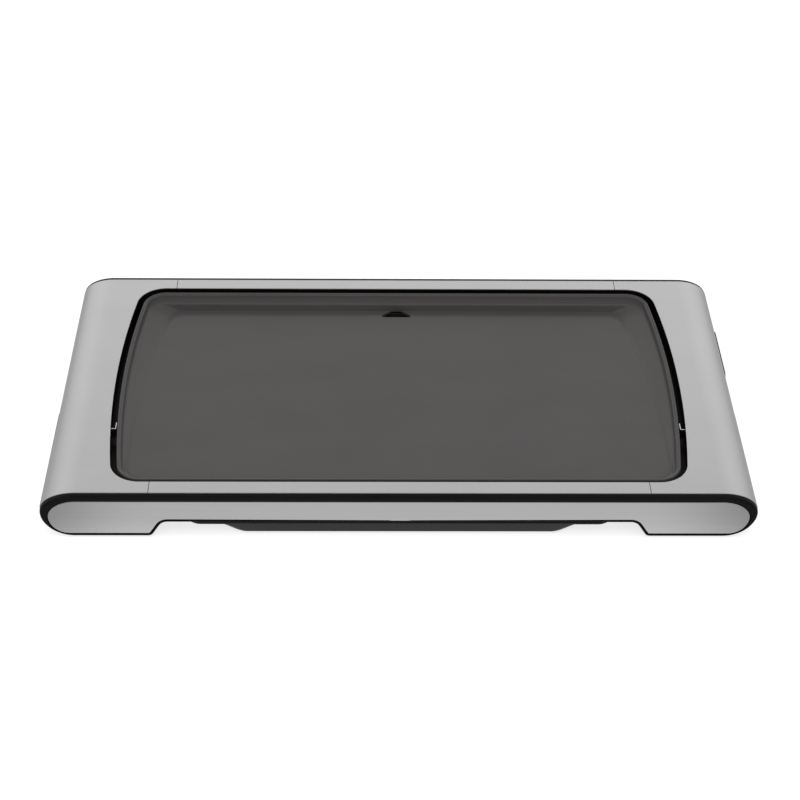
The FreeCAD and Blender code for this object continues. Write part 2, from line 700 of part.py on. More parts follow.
def housing_frame():
    """Black moulding: deck, rounded ends, legs, front and rear lips, and the well for the plate."""
    piece = Piece("housing_frame")
    upper, lower = S["upper_curve"], S["lower_curve"]
    shell = piece.sketch("XZ_Plane")
    end_outline(shell, DECK_TOP, HALF_WIDTH, WIDEST, upper, lower, sized(0), S["cover_sheet"])
    piece.pad(shell, S["body_depth"], both=True)
    root_sketch = piece.sketch("XZ_Plane", HALF_DEPTH)
    end_outline(root_sketch, TOP - S["lip_step"], HALF_WIDTH, WIDEST, upper, lower, sized(0))
    rim_sketch = piece.sketch("XZ_Plane", LIP_FACE)
    rim_wide = HALF_WIDTH - S["lip_draw"]
    rim_upper = upper - S["lip_draw"]
    end_outline(rim_sketch, TOP - S["lip_drop"], rim_wide, WIDEST, rim_upper, lower, sized(0))
    lip = piece.loft(root_sketch, rim_sketch)
    recess_sketch = piece.sketch("XZ_Plane", LIP_FACE)
    groove = S["fascia_groove"]
    end_outline(
        recess_sketch,
        TOP - S["fascia_top"] + groove,
        HALF_WIDTH - S["fascia_end"] + groove,
        FOOT + S["fascia_rise"],
        S["fascia_curve"],
        S["fascia_heel"] + groove,
        S["fascia_edge"] - groove - S["tab_drop"],
    )
    recess = piece.pocket(recess_sketch, S["recess_depth"])
    piece.mirror([lip, recess], "XZ_Plane")
    cavity = piece.sketch("XZ_Plane")
    cavity_outline(cavity)
    piece.pocket(cavity, CAVITY_HALF * 2, both=True)
    plate_well(piece)
    screw_bosses(piece)
    inlet_window(piece)


def plate_well(piece):
    """The well round the plate, its shelf and the opening over the heating element."""
    clear = S["well_clearance"]
    wall = clear + S["well_wall"]
    bow, corner = S["opening_bow"], S["opening_corner"]
    outer = piece.sketch("XY_Plane", SHELF_UNDER)
    bowed_outline(outer, OPENING_HALF + wall, bow + wall, corner + wall, -(OPENING_END + wall), OPENING_END + wall)
    piece.pad(outer, DECK_TOP - S["deck"] / 2 - SHELF_UNDER)
    inner = piece.sketch("XY_Plane", TOP)
    bowed_outline(
        inner, OPENING_HALF + clear, bow + clear, corner + clear, -(OPENING_END + clear), OPENING_END + clear
    )
    piece.pocket(inner, TOP - SHELF_TOP)
    seat = S["plate_seat"] - S["well_clearance"]
    opening = piece.sketch("XY_Plane", TOP)
    bowed_outline(
        opening, PLATE_HALF - seat, PLATE_BOW - seat, PLATE_CORNER - seat / 2, -(PLATE_END - seat), PLATE_END - seat
    )
    piece.pocket(opening, TOP - SHELF_UNDER + S["shelf"])
    chute_notch = piece.sketch("XY_Plane", SHELF_TOP)
    chute_outline(chute_notch, S["stack_gap"])
    piece.pocket(chute_notch, S["shelf"] * 2)
    tail_notches(piece, PLATE_HALF - S["plate_seat"] * 2)


def tail_notches(piece, start):
    """Notches where the two tails of the element leave the well, from a line outwards."""
    reach = S["tube_radius"] + S["tail_clearance"]
    notches = piece.sketch("YZ_Plane", start)
    for tail in TAILS:
        box_outline(notches, tail - reach, tail + reach, TUBE_LEVEL - reach, TUBE_LEVEL + reach)
    piece.pocket(notches, INLET_INNER - start, back=True)


def screw_bosses(piece):
    """Bosses for the base plate under the shelf, and for the leg covers under the deck."""
    short = piece.sketch("XY_Plane", BASE_TOP)
    bores = piece.sketch("XY_Plane", BASE_TOP)
    for x, y in BASE_SCREWS:
        for end in (-y, y):
            circle_outline(short, x, end, S["boss_radius"])
            circle_outline(bores, x, end, S["boss_bore"])
    piece.pad(short, SHELF_UNDER - BASE_TOP + S["shelf"] / 2)
    level = FOOT + S["wall"]
    tall = piece.sketch("XY_Plane", level)
    deep = piece.sketch("XY_Plane", level)
    for x, y in LEG_SCREWS:
        for side in (-x, x):
            for end in (-y, y):
                circle_outline(tall, side, end, S["boss_radius"])
                circle_outline(deep, side, end, S["boss_bore"])
    piece.pad(tall, DECK_UNDER - level + S["deck"] / 2)
    piece.pocket(bores, S["screw_shank"], back=True)
    piece.pocket(deep, S["screw_shank"], back=True)


def inlet_window(piece):
    """The window in the right end that the inlet's shroud passes through."""
    window = piece.sketch("YZ_Plane", INLET_INNER - S["inlet_fit"])
    fit = S["inlet_fit"]
    slot_outline(window, S["inlet_middle"], INLET_LEVEL, S["inlet_length"] / 2 + fit, S["inlet_height"] / 2 + fit)
    piece.pocket(window, S["inlet_length_in"] + S["inlet_proud"], back=True)


def side_cover(label, side):
    """Steel end cover: a C round the plate's corners that wraps down over the rounded end."""
    piece = Piece(label)
    profile_sketch = piece.sketch("XZ_Plane")
    seam = side * (S["seam_place"] + S["seam_gap"] / 2)
    bend = side * (HALF_WIDTH - S["upper_curve"])
    outer = side * HALF_WIDTH
    inner = side * (HALF_WIDTH - S["cover_sheet"])
    profile = Outline(profile_sketch, seam, TOP)
    profile.line(bend, TOP).quarter(outer, WIDEST, bend, WIDEST).line(inner, WIDEST)
    profile.quarter(bend, DECK_TOP, bend, WIDEST).line(seam, DECK_TOP).line(seam, TOP)
    profile.close()
    piece.pad(profile_sketch, S["body_depth"], both=True)
    opening = piece.sketch("XY_Plane", TOP)
    bowed_outline(opening, OPENING_HALF, S["opening_bow"], S["opening_corner"], -OPENING_END, OPENING_END)
    piece.pocket(opening, S["cover_sheet"] * 2)


def top_strip(label, side):
    """Steel strip in front of or behind the plate."""
    piece = Piece(label, y=side * OPENING_END, z=DECK_TOP)
    seam = S["seam_place"] - S["seam_gap"] / 2
    strip = piece.sketch("XY_Plane")
    if side < 0:
        box_outline(strip, -seam, seam, -S["strip_width"], sized(0))
    else:
        box_outline(strip, -seam, seam, sized(0), S["strip_width"])
    piece.pad(strip, S["cover_sheet"])


def fascia(label, side):
    """Steel fascia, rounded at its rim, with a slight sag and a pull mark on its lower edge."""
    back = LIP_FACE - S["recess_depth"]
    piece = Piece(label)
    sketch = piece.sketch("XZ_Plane", -side * back)
    end_outline(
        sketch,
        TOP - S["fascia_top"],
        HALF_WIDTH - S["fascia_end"],
        FOOT + S["fascia_rise"],
        S["fascia_curve"],
        S["fascia_heel"],
        S["fascia_edge"],
        sag=(S["fascia_bow"], S["fascia_tab"], S["tab_drop"]),
    )
    piece.pad(sketch, S["fascia_sheet"], back=side > 0)
    face = (back + S["fascia_sheet"]).value
    piece.fillet(S["fascia_round"], lambda edge: on_level(edge, "y", side * face))


def on_level(edge, axis, level):
    """True for an edge that lies wholly at one level along an axis."""
    box = edge.BoundBox
    low = {"x": box.XMin, "y": box.YMin, "z": box.ZMin}[axis]
    high = {"x": box.XMax, "y": box.YMax, "z": box.ZMax}[axis]
    return abs(low - level) < 0.01 and abs(high - level) < 0.01


def cooking_plate():
    """Cast plate: raised rim, ledge, a surface that falls to the rear, grease channel and drain."""
    piece = Piece("cooking_plate")
    skirt = piece.sketch("XY_Plane", SKIRT_UNDER)
    bowed_outline(skirt, PLATE_HALF, PLATE_BOW, PLATE_CORNER, -PLATE_END, PLATE_END)
    piece.pad(skirt, S["plate_skirt"])
    seat = S["plate_seat"]
    under = piece.sketch("XY_Plane", SKIRT_UNDER)
    bowed_outline(
        under, PLATE_HALF - seat, PLATE_BOW - seat, PLATE_CORNER - seat / 2, -(PLATE_END - seat), PLATE_END - seat
    )
    piece.pad(under, S["plate_depth"] - S["plate_skirt"], back=True)
    plate_rim(piece)
    plate_surface(piece)
    grease_channel(piece)
    drain_hole(piece)
    rim = RIM_TOP.value
    piece.fillet(S["edge_round"], lambda edge: on_level(edge, "z", rim))


def plate_rim(piece):
    """The sloping wall inside the rim, down to the ledge."""
    top, foot = S["rim_width"], S["rim_width"] + S["rim_run"]
    mouth = piece.sketch("XY_Plane", RIM_TOP)
    bowed_outline(mouth, PLATE_HALF - top, PLATE_BOW - top, PLATE_CORNER - top, -(PLATE_END - top), PLATE_END - top)
    floor = piece.sketch("XY_Plane", LEDGE)
    bowed_outline(
        floor, PLATE_HALF - foot, PLATE_BOW - foot, PLATE_CORNER - foot, -(PLATE_END - foot), PLATE_END - foot
    )
    piece.loft(mouth, floor, cut=True)


def plate_surface(piece):
    """The cooking surface: a tilted floor, and ramps that rise from it to the ledge."""
    inset = S["rim_width"] + S["rim_run"] + S["ledge_side"]
    upper = piece.sketch("XY_Plane", LEDGE)
    bowed_outline(
        upper, PLATE_HALF - inset, PLATE_BOW - inset, PLATE_CORNER - inset, -(PLATE_END - inset), CHANNEL_REAR
    )
    fall = (S["floor_rear"] - S["floor_front"]) / (CHANNEL_FRONT - SURFACE_FRONT)
    middle = S["floor_rear"] - fall * CHANNEL_FRONT
    tilt = -slope(S["floor_rear"] - S["floor_front"], CHANNEL_FRONT - SURFACE_FRONT)
    floor = piece.sketch("XY_Plane", LEDGE - middle, tilt)
    crease_outline(
        floor,
        S["crease_front"],
        S["crease_rear"],
        S["crease_bow"],
        PLATE_CORNER - inset,
        S["channel_width"],
        SURFACE_FRONT,
        CHANNEL_FRONT,
    )
    piece.loft(upper, floor, cut=True)


def grease_channel(piece):
    """The channel that carries the fat to the drain."""
    lean = S["channel_slope"]
    half, end = S["channel_width"] / 2, S["channel_end"]
    middle = CHANNEL_REAR - half
    mouth = piece.sketch("XY_Plane", LEDGE)
    slot_outline(mouth, sized(0), middle, end + lean, half)
    floor = piece.sketch("XY_Plane", LEDGE - S["channel_depth"])
    slot_outline(floor, sized(0), middle, end, half - lean)
    piece.loft(mouth, floor, cut=True)


def drain_hole(piece):
    """D-shaped drain: straight in front, arched through the channel's rear wall."""
    half, reach = S["drain_width"] / 2, S["drain_reach"]
    front = CHANNEL_FRONT - S["channel_slope"] / 4
    drain = piece.sketch("XY_Plane", RIM_TOP)
    profile = Outline(drain, -half, front)
    profile.line(half, front).arc(sized(0), front + reach, (half * half + reach * reach) / (2 * reach))
    profile.arc(-half, front, (half * half + reach * reach) / (2 * reach))
    profile.close()
    piece.pocket(drain, S["plate_depth"] + S["wall"])


def reflector_pan():
    """Aluminised dish under the element, its flange under the shelf."""
    piece = Piece("reflector_pan")
    sheet, flange = S["reflector_sheet"], S["reflector_flange"]
    seat = S["plate_seat"] - S["well_clearance"]
    brim = SHELF_UNDER - S["stack_gap"]

    def dish(level, inset):
        sketch = piece.sketch("XY_Plane", level)
        bowed_outline(
            sketch,
            PLATE_HALF - inset,
            PLATE_BOW - inset,
            PLATE_CORNER - seat / 2,
            -(PLATE_END - inset),
            PLATE_END - inset,
        )
        return sketch

    wall_top, wall_foot = seat + sheet, seat + S["reflector_slope"]
    piece.pad(dish(brim - sheet, seat - flange), sheet)
    piece.loft(dish(brim - sheet, wall_top), dish(REFLECTOR_UNDER, wall_foot))
    piece.loft(dish(brim, wall_top + sheet), dish(REFLECTOR_TOP, wall_foot + sheet), cut=True)
    hole = piece.sketch("XY_Plane", brim)
    chute_outline(hole, S["stack_gap"])
    piece.pocket(hole, brim - REFLECTOR_UNDER + sheet)
    tail_notches(piece, PLATE_HALF - S["plate_seat"] * 2)


def chute_outline(sketch, grow):
    """The drain chute's outline, grown by a distance."""
    front = CHANNEL_FRONT - S["chute_wall"] * 2
    rear = front + S["drain_reach"] + S["chute_wall"] * 3
    half = S["chute_half"]
    box_outline(sketch, -(half + grow), half + grow, front - grow, rear + grow)


def drain_chute():
    """Chute from the plate's drain, through the reflector and the base plate, to the tray."""
    piece = Piece("drain_chute")
    foot = TRAY_TOP + S["chute_drop"]
    head = PLATE_UNDER - S["tube_clearance"]
    body = piece.sketch("XY_Plane", foot)
    chute_outline(body, sized(0))
    piece.pad(body, head - foot)
    flange = piece.sketch("XY_Plane", REFLECTOR_TOP)
    front = CHANNEL_FRONT - S["chute_wall"] * 2 - S["chute_flange"]
    rear = PLATE_END - S["plate_seat"] - S["reflector_slope"] - S["chute_wall"]
    side = S["chute_half"] + S["chute_flange"]
    box_outline(flange, -side, side, front, rear)
    piece.pad(flange, S["chute_wall"])
    bore = piece.sketch("XY_Plane", head)
    chute_outline(bore, -S["chute_wall"])
    piece.pocket(bore, head - foot + S["wall"])


def heating_element():
    """Sheathed tube bent into four runs, with both tails at the inlet."""
    piece = Piece("heating_element")
    middle, spread = S["inlet_middle"], S["tail_spread"]
    left, right, back = -S["loop_left"], S["loop_right"], S["return_run"]
    turn = S["return_bend"]
    tail = INLET_INNER - S["block_length"] / 2
    first = middle + spread
    runs = [first - S["loop_pitch"] * n for n in range(4)]
    path = piece.sketch("XY_Plane", TUBE_LEVEL)
    course = Outline(path, tail, runs[0])
    course.line(left, runs[0]).half(left, runs[1])
    course.line(right, runs[1]).half(right, runs[2], left=False)
    course.line(left, runs[2]).half(left, runs[3])
    course.line(back - turn, runs[3]).arc(back, runs[3] + turn, turn)
    course.line(back, middle - spread - turn).arc(back + turn, middle - spread, turn, left=False)
    course.line(tail, middle - spread).leave_open()
    ring = piece.sketch("YZ_Plane", tail)
    circle_outline(ring, runs[0], TUBE_LEVEL, S["tube_radius"])
    pipe = piece.feature("AdditivePipe", ring)
    pipe.Spine = (path, ["Edge%d" % (n + 1) for n in range(11)])


def element_bracket(label, place):
    """Strip across the reflector with a pair of ears at each run of the element."""
    piece = Piece(label, x=place, z=REFLECTOR_TOP)
    half = S["bracket_width"] / 2
    runs = [S["inlet_middle"] + S["tail_spread"] - S["loop_pitch"] * n for n in range(4)]
    ear, tube = S["bracket_ear"], S["tube_radius"] + S["stack_gap"]
    strip = piece.sketch("XY_Plane")
    box_outline(strip, -half, half, runs[3] - tube - ear * 2, runs[0] + tube + ear * 2)
    under = TUBE_LEVEL - S["tube_radius"] - REFLECTOR_TOP
    piece.pad(strip, under)
    ears = piece.sketch("XY_Plane")
    for run in runs:
        for inner, outer in ((run - tube - ear, run - tube), (run + tube, run + tube + ear)):
            box_outline(ears, -half, half, inner, outer)
    piece.pad(ears, under + S["tube_radius"])


def base_plate():
    """Steel sheet that closes the housing between the legs."""
    piece = Piece("base_plate", z=BASE_UNDER)
    fit = S["base_fit"]
    sheet = piece.sketch("XY_Plane")
    box_outline(sheet, fit - SEAT_INNER, SEAT_INNER - fit, fit - CAVITY_HALF, CAVITY_HALF - fit)
    piece.pad(sheet, S["base_sheet"])
    holes = piece.sketch("XY_Plane", S["base_sheet"])
    chute_outline(holes, S["stack_gap"])
    for x, y in BASE_SCREWS:
        for end in (-y, y):
            circle_outline(holes, x, end, S["boss_bore"] + S["stack_gap"])
    for side in (-1, 1):
        for y in RIVETS:
            circle_outline(holes, side * RIVET_LINE, y, S["boss_bore"])
    piece.pocket(holes, S["base_sheet"] * 2)


def leg_cover(label, side):
    """Black plate that closes a leg from below."""
    piece = Piece(label, z=FOOT + S["stack_gap"])
    fit = S["base_fit"]
    inner = LEG_INNER + fit
    outer = HALF_WIDTH - S["lower_curve"] - fit
    ends = (inner, outer) if side > 0 else (-outer, -inner)
    plate = piece.sketch("XY_Plane")
    box_outline(plate, ends[0], ends[1], fit - CAVITY_HALF, CAVITY_HALF - fit)
    piece.pad(plate, S["wall"] - S["stack_gap"])
    holes = piece.sketch("XY_Plane", S["wall"])
    for x, y in LEG_SCREWS:
        for end in (-y, y):
            circle_outline(holes, side * x, end, S["boss_bore"] + S["stack_gap"])
    for end in (-1, 1):
        circle_outline(holes, side * S["foot_across"], end * S["foot_along"], S["foot_radius"] / 2)
    piece.pocket(holes, S["wall"] * 2)


def inlet_shroud():
    """Moulded shroud of the inlet: an open-mouthed slot with the pins and the sensor guide inside."""
    piece = Piece("inlet_shroud", x=INLET_INNER, y=S["inlet_middle"], z=INLET_LEVEL)
    half, radius = S["inlet_length"] / 2, S["inlet_height"] / 2
    body = piece.sketch("YZ_Plane")
    slot_outline(body, sized(0), sized(0), half, radius)
    piece.pad(body, S["inlet_length_in"])
    wall, back = S["inlet_wall"], S["inlet_back"]
    mouth = piece.sketch("YZ_Plane", back)
    slot_outline(mouth, sized(0), sized(0), half - wall, radius - wall)
    piece.pocket(mouth, S["inlet_length_in"], back=True)
    holes = piece.sketch("YZ_Plane", back)
    for side in (-1, 1):
        circle_outline(holes, side * S["tail_spread"], 0, S["pin_base"] + S["stack_gap"] / 4)
    circle_outline(holes, 0, 0, S["guide_radius"] + S["stack_gap"] / 4)
    piece.pocket(holes, back * 2)
    length = S["inlet_length_in"].value
    piece.fillet(S["edge_round"], lambda edge: on_level(edge, "x", length))


def terminal_block():
    """Block that joins the tails of the element to the pins."""
    length = S["block_length"]
    piece = Piece("terminal_block", x=INLET_INNER - length, y=S["inlet_middle"], z=INLET_LEVEL)
    half = S["block_width"] / 2
    rise = TUBE_LEVEL - INLET_LEVEL
    body = piece.sketch("YZ_Plane")
    box_outline(body, -half, half, -(S["inlet_height"] / 2 - S["inlet_wall"]), rise + S["tube_radius"] + S["block_cap"])
    piece.pad(body, length)
    tails = piece.sketch("YZ_Plane")
    pins = piece.sketch("YZ_Plane", length)
    for side in (-1, 1):
        circle_outline(tails, side * S["tail_spread"], rise, S["tube_radius"] + S["stack_gap"] / 4)
        circle_outline(pins, side * S["tail_spread"], 0, S["pin_base"] + S["stack_gap"] / 4)
    piece.pocket(tails, length / 2, back=True)
    piece.pocket(pins, length / 2)
    guide = piece.sketch("YZ_Plane", length)
    circle_outline(guide, 0, 0, S["guide_radius"] + S["stack_gap"] / 4)
    piece.pocket(guide, length * 2)


def contact_pin(label, side):
    """Round contact pin: a thicker seat in the block and the shroud, and a free end that is rounded."""
    seat = S["block_length"] / 2 + S["inlet_back"]
    start = INLET_INNER - S["block_length"] / 2
    piece = Piece(label, x=start, y=S["inlet_middle"] + side * S["tail_spread"], z=INLET_LEVEL)
    base = piece.sketch("YZ_Plane")
    circle_outline(base, 0, 0, S["pin_base"])
    piece.pad(base, seat)
    pin = piece.sketch("YZ_Plane")
    circle_outline(pin, 0, 0, S["pin_radius"])
    piece.pad(pin, seat + S["pin_length"])
    piece.fillet(S["pin_point"], lambda edge: on_level(edge, "x", (seat + S["pin_length"]).value))


def sensor_guide():
    """Tube that takes the sensor of the plug-in control."""
    reach = S["block_length"] * 2
    piece = Piece("sensor_guide", x=INLET_INNER - reach, y=S["inlet_middle"], z=INLET_LEVEL)
    tube = piece.sketch("YZ_Plane")
    circle_outline(tube, 0, 0, S["guide_radius"])
    piece.pad(tube, reach + S["inlet_back"] + S["pin_length"] / 3)
    bore = piece.sketch("YZ_Plane", S["inlet_back"])
    circle_outline(bore, 0, 0, S["guide_bore"])
    piece.pocket(bore, reach * 2, back=True)


def drip_tray():
    """Drip tray: turned-down rim that rides in the runners, and a basin with sloping ends."""
    piece = Piece("drip_tray")
    half, corner, sheet = S["tray_half"], S["tray_corner"], S["tray_sheet"]
    plate = piece.sketch("XY_Plane", TRAY_UNDER)
    box_outline(plate, -half, half, TRAY_FRONT, TRAY_REAR, corner)
    piece.pad(plate, sheet)
    lip = piece.sketch("XY_Plane", TRAY_UNDER)
    box_outline(lip, -half, half, TRAY_FRONT, TRAY_REAR, corner)
    box_outline(lip, sheet - half, half - sheet, TRAY_FRONT + sheet, TRAY_REAR - sheet, corner - sheet)
    piece.pad(lip, S["tray_lip"] - sheet, back=True)

    def basin(level, inset, depth_share):
        sketch = piece.sketch("XY_Plane", level)
        side = S["basin_half"] - S["basin_slope"] * depth_share - inset
        front = TRAY_FRONT + S["basin_front"] + S["basin_draft"] * depth_share + inset
        rear = TRAY_REAR - S["basin_rear"] - S["basin_slope"] * depth_share - inset
        box_outline(sketch, -side, side, front, rear, corner - inset)
        return sketch

    piece.loft(basin(TRAY_UNDER, sized(0), sized(0)), basin(S["basin_floor"], sized(0), sized(1)))
    piece.loft(basin(TRAY_TOP, sheet, sized(0)), basin(S["basin_floor"] + sheet, sheet, sized(1)), cut=True)


def tray_runner(label, side):
    """Folded steel channel that carries the tray's rim, with a stop at its rear end."""
    front = -(HALF_DEPTH - S["runner_front"])
    rear = TRAY_REAR + S["runner_gap"] + S["runner_sheet"]
    piece = Piece(label, y=rear)
    sheet, gap = S["runner_sheet"], S["runner_gap"]
    web = S["tray_half"] + gap
    lip_top = TRAY_TOP - S["tray_lip"] - gap
    low = lip_top - sheet
    channel = piece.sketch("XZ_Plane")
    profile = Outline(channel, side * (web - S["runner_grip"]), low)
    profile.line(side * (web + sheet), low).line(side * (web + sheet), BASE_UNDER)
    profile.line(side * (web + sheet - S["runner_flange"]), BASE_UNDER)
    profile.line(side * (web + sheet - S["runner_flange"]), BASE_UNDER - sheet)
    profile.line(side * web, BASE_UNDER - sheet).line(side * web, lip_top)
    profile.line(side * (web - S["runner_grip"]), lip_top).line(side * (web - S["runner_grip"]), low)
    profile.close()
    piece.pad(channel, rear - front)
    stop = piece.sketch("XZ_Plane")
    inner = web - S["runner_grip"]
    ends = (inner, web + sheet / 2) if side > 0 else (-(web + sheet / 2), -inner)
    box_outline(stop, ends[0], ends[1], low + sheet / 2, BASE_UNDER - sheet / 2)
    piece.pad(stop, sheet)
    holes = piece.sketch("XY_Plane", BASE_UNDER)
    for y in RIVETS:
        circle_outline(holes, side * RIVET_LINE, y - rear, S["boss_bore"])
    piece.pocket(holes, sheet * 1.5)


def side_grip(label, side, tail):
    """Black grip under the edge of an end cover: thicker in front, thinner behind."""
    front = -(HALF_DEPTH - S["grip_front"])
    piece = Piece(label, y=front)
    inner, outer = side * HALF_WIDTH, side * (HALF_WIDTH + S["grip_proud"])
    thin = side * (HALF_WIDTH + S["grip_proud"] / 2)
    low = WIDEST - S["grip_height"]
    thick_sketch = piece.sketch("XZ_Plane")
    Outline(thick_sketch, inner, low).line(outer, low + S["grip_proud"]).line(
        outer, WIDEST - S["stack_gap"]
    ).line(inner, WIDEST - S["stack_gap"]).line(inner, low).close()
    piece.pad(thick_sketch, S["grip_step"], back=True)
    thin_sketch = piece.sketch("XZ_Plane", -S["grip_step"])
    Outline(thin_sketch, inner, low + S["grip_proud"]).line(thin, low + S["grip_proud"] * 2).line(
        thin, WIDEST - S["stack_gap"]
    ).line(inner, WIDEST - S["stack_gap"]).line(inner, low + S["grip_proud"]).close()
    piece.pad(thin_sketch, tail, back=True)


def bow_at(y):
    """How far the opening's bowed side has come in at a distance from its middle."""
    bow = S["opening_bow"]
    return bow - root(bow * bow - y * y)


def plate_clip(label, side):
    """Spring clip in the gap beside the plate: a leaf along the plate and a foot on the well."""
    sheet, reach = S["clip_sheet"], S["clip_reach"]
    well = OPENING_HALF + S["well_clearance"] - bow_at(S["clip_place"] + reach) - S["stack_gap"]
    leaf = PLATE_HALF - bow_at(S["clip_place"]) + S["stack_gap"] * 2
    top = RIM_TOP - sheet
    piece = Piece(label, y=-S["clip_place"], z=top - S["clip_height"])
    sketch = piece.sketch("XY_Plane")
    profile = Outline(sketch, side * leaf, sized(0))
    profile.line(side * (leaf + sheet), sized(0)).line(side * (leaf + sheet), sheet - reach)
    profile.line(side * well, sheet - reach).line(side * well, -reach)
    profile.line(side * leaf, -reach).line(side * leaf, sized(0))
    profile.close()
    piece.pad(sketch, S["clip_height"])


def rubber_foot(label, x, y):
    """Rubber foot with a peg through the leg cover."""
    piece = Piece(label, x=x, y=y)
    pad = piece.sketch("XY_Plane")
    circle_outline(pad, 0, 0, S["foot_radius"])
    piece.pad(pad, FOOT + S["stack_gap"])
    peg = piece.sketch("XY_Plane", FOOT)
    circle_outline(peg, 0, 0, S["foot_radius"] / 2 - S["stack_gap"] / 2)
    piece.pad(peg, S["wall"])
    piece.fillet(S["foot_height"] / 3, lambda edge: on_level(edge, "z", 0.0))


def group(label, members):
    """Like pieces as one node of separate solids."""
    made = DOC.addObject("Part::Compound", label)
    made.Label = label
    made.Links = members
    NODES.append(made)


def screw(name, x, y, z, head, cap, shank, length):
    """A screw that points up: its head hangs below z."""
    top = DOC.addObject("Part::Cylinder", name + "_head")
    bind(top, "Radius", head)
    bind(top, "Height", cap)
    stem = DOC.addObject("Part::Cylinder", name + "_stem")
    bind(stem, "Radius", shank)
    bind(stem, "Height", cap + length)
    for part in (top, stem):
        bind(part, "Placement.Base.x", x)
        bind(part, "Placement.Base.y", y)
        bind(part, "Placement.Base.z", z - cap)
    whole = DOC.addObject("Part::Fuse", name)
    whole.Base = top
    whole.Tool = stem
    return whole


def screws():
    """Screws of the base plate and of the leg covers, and the rivets of the runners."""
    head, cap, shank = S["screw_head"], S["screw_cap"], S["boss_bore"]
    length = S["screw_shank"] - S["wall"]
    places = [(x, end) for x, y in BASE_SCREWS for end in (-y, y)]
    group(
        "base_screws",
        [screw("base_screw_%d" % n, x, y, BASE_UNDER, head, cap, shank, length) for n, (x, y) in enumerate(places)],
    )
    places = [(side, end) for x, y in LEG_SCREWS for side in (-x, x) for end in (-y, y)]
    level, flat = FOOT + S["stack_gap"], S["flat_head"]
    group(
        "leg_screws",
        [screw("leg_screw_%d" % n, x, y, level, head, flat, shank, length) for n, (x, y) in enumerate(places)],
    )
    places = [(side * RIVET_LINE, y) for side in (-1, 1) for y in RIVETS]
    level, stack = BASE_UNDER - S["runner_sheet"], S["runner_sheet"] + S["base_sheet"]
    head, cap = S["rivet_head"], S["rivet_cap"]
    group(
        "runner_rivets",
        [screw("rivet_%d" % n, x, y, level, head, cap, shank, stack) for n, (x, y) in enumerate(places)],
    )


def support_pads():
    """Heat-proof pads on the shelf that the plate rests on."""
    half_long, half_wide = S["pad_length"] / 2, S["pad_width"] / 2
    line = PLATE_END - S["plate_seat"] / 2
    side = PLATE_HALF - S["plate_seat"] / 2 - S["stack_gap"] * 4
    places = []
    for x in (-150, 150):
        for end in (-1, 1):
            places.append((sized(x), end * line, half_long, half_wide))
    for end in (-1, 1):
        for y in (-25, 25):
            places.append((end * side, sized(y), half_wide, half_long))
    members = []
    for number, (x, y, half_x, half_y) in enumerate(places):
        pad = DOC.addObject("Part::Box", "support_pad_%d" % number)
        bind(pad, "Length", half_x * 2)
        bind(pad, "Width", half_y * 2)
        bind(pad, "Height", S["pad_gap"] - S["pad_clearance"])
        bind(pad, "Placement.Base.x", x - half_x)
        bind(pad, "Placement.Base.y", y - half_y)
        bind(pad, "Placement.Base.z", SHELF_TOP)
        members.append(pad)
    group("support_pads", members)


def build():
    """Makes every sub-part of the griddle."""
    housing_frame()
    side_cover("left_side_cover", -1)
    side_cover("right_side_cover", 1)
    top_strip("front_top_strip", -1)
    top_strip("rear_top_strip", 1)
    fascia("front_fascia", -1)
    fascia("rear_fascia", 1)
    cooking_plate()
    reflector_pan()
    drain_chute()
    heating_element()
    for label, place in (
        ("element_bracket_left", -S["bracket_place"]),
        ("element_bracket_middle", sized(0)),
        ("element_bracket_right", S["bracket_place"]),
    ):
        element_bracket(label, place)
    base_plate()
    leg_cover("left_leg_cover", -1)
    leg_cover("right_leg_cover", 1)
    inlet_shroud()
    terminal_block()
    contact_pin("front_contact_pin", -1)
    contact_pin("rear_contact_pin", 1)
    sensor_guide()
    drip_tray()
    tray_runner("left_tray_runner", -1)
    tray_runner("right_tray_runner", 1)
    side_grip("left_grip", -1, S["grip_tail"])
    side_grip("right_grip", 1, S["inlet_middle"] - S["inlet_length"] / 2 + HALF_DEPTH - S["grip_front"] - S["grip_step"]
              - S["inlet_fit"])
    plate_clip("left_plate_clip", -1)
    plate_clip("right_plate_clip", 1)
    for end, depth in (("front", -1), ("rear", 1)):
        for hand, side in (("left", -1), ("right", 1)):
            rubber_foot("%s_%s_foot" % (end, hand), side * S["foot_across"], depth * S["foot_along"])
    support_pads()
    screws()


def write_parts():
    """Checks every object and writes one STEP file for each node."""
    DOC.recompute()
    for item in DOC.Objects:
        if "Invalid" in item.State or "Error" in item.State:
            raise RuntimeError("%s is not valid: %s" % (item.Name, item.State))
    os.makedirs("parts", exist_ok=True)
    for node in NODES:
        shape = node.Shape
        if shape.isNull() or not shape.isValid():
            raise RuntimeError("%s has no valid shape" % node.Label)
        shape.exportStep("parts/%s.step" % node.Label)
        print("%-24s %2d solids %10.0f mm3" % (node.Label, len(shape.Solids), shape.Volume))


build()
write_parts()
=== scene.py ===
"""Finishes, small detailed pieces and the studio of a table-top electric griddle.

Metres.  X runs left to right, Y from the cook towards the back, Z up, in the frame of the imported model.
"""

from functools import cached_property
from math import asin, atan, cos, hypot, pi, radians, sin, sqrt, tan, tau

import bmesh
import bpy
from bpy.props import FloatProperty, FloatVectorProperty, PointerProperty
from bpy.types import NodeSocket, Operator, Panel, PropertyGroup, Scene
from mathutils import Matrix, Vector


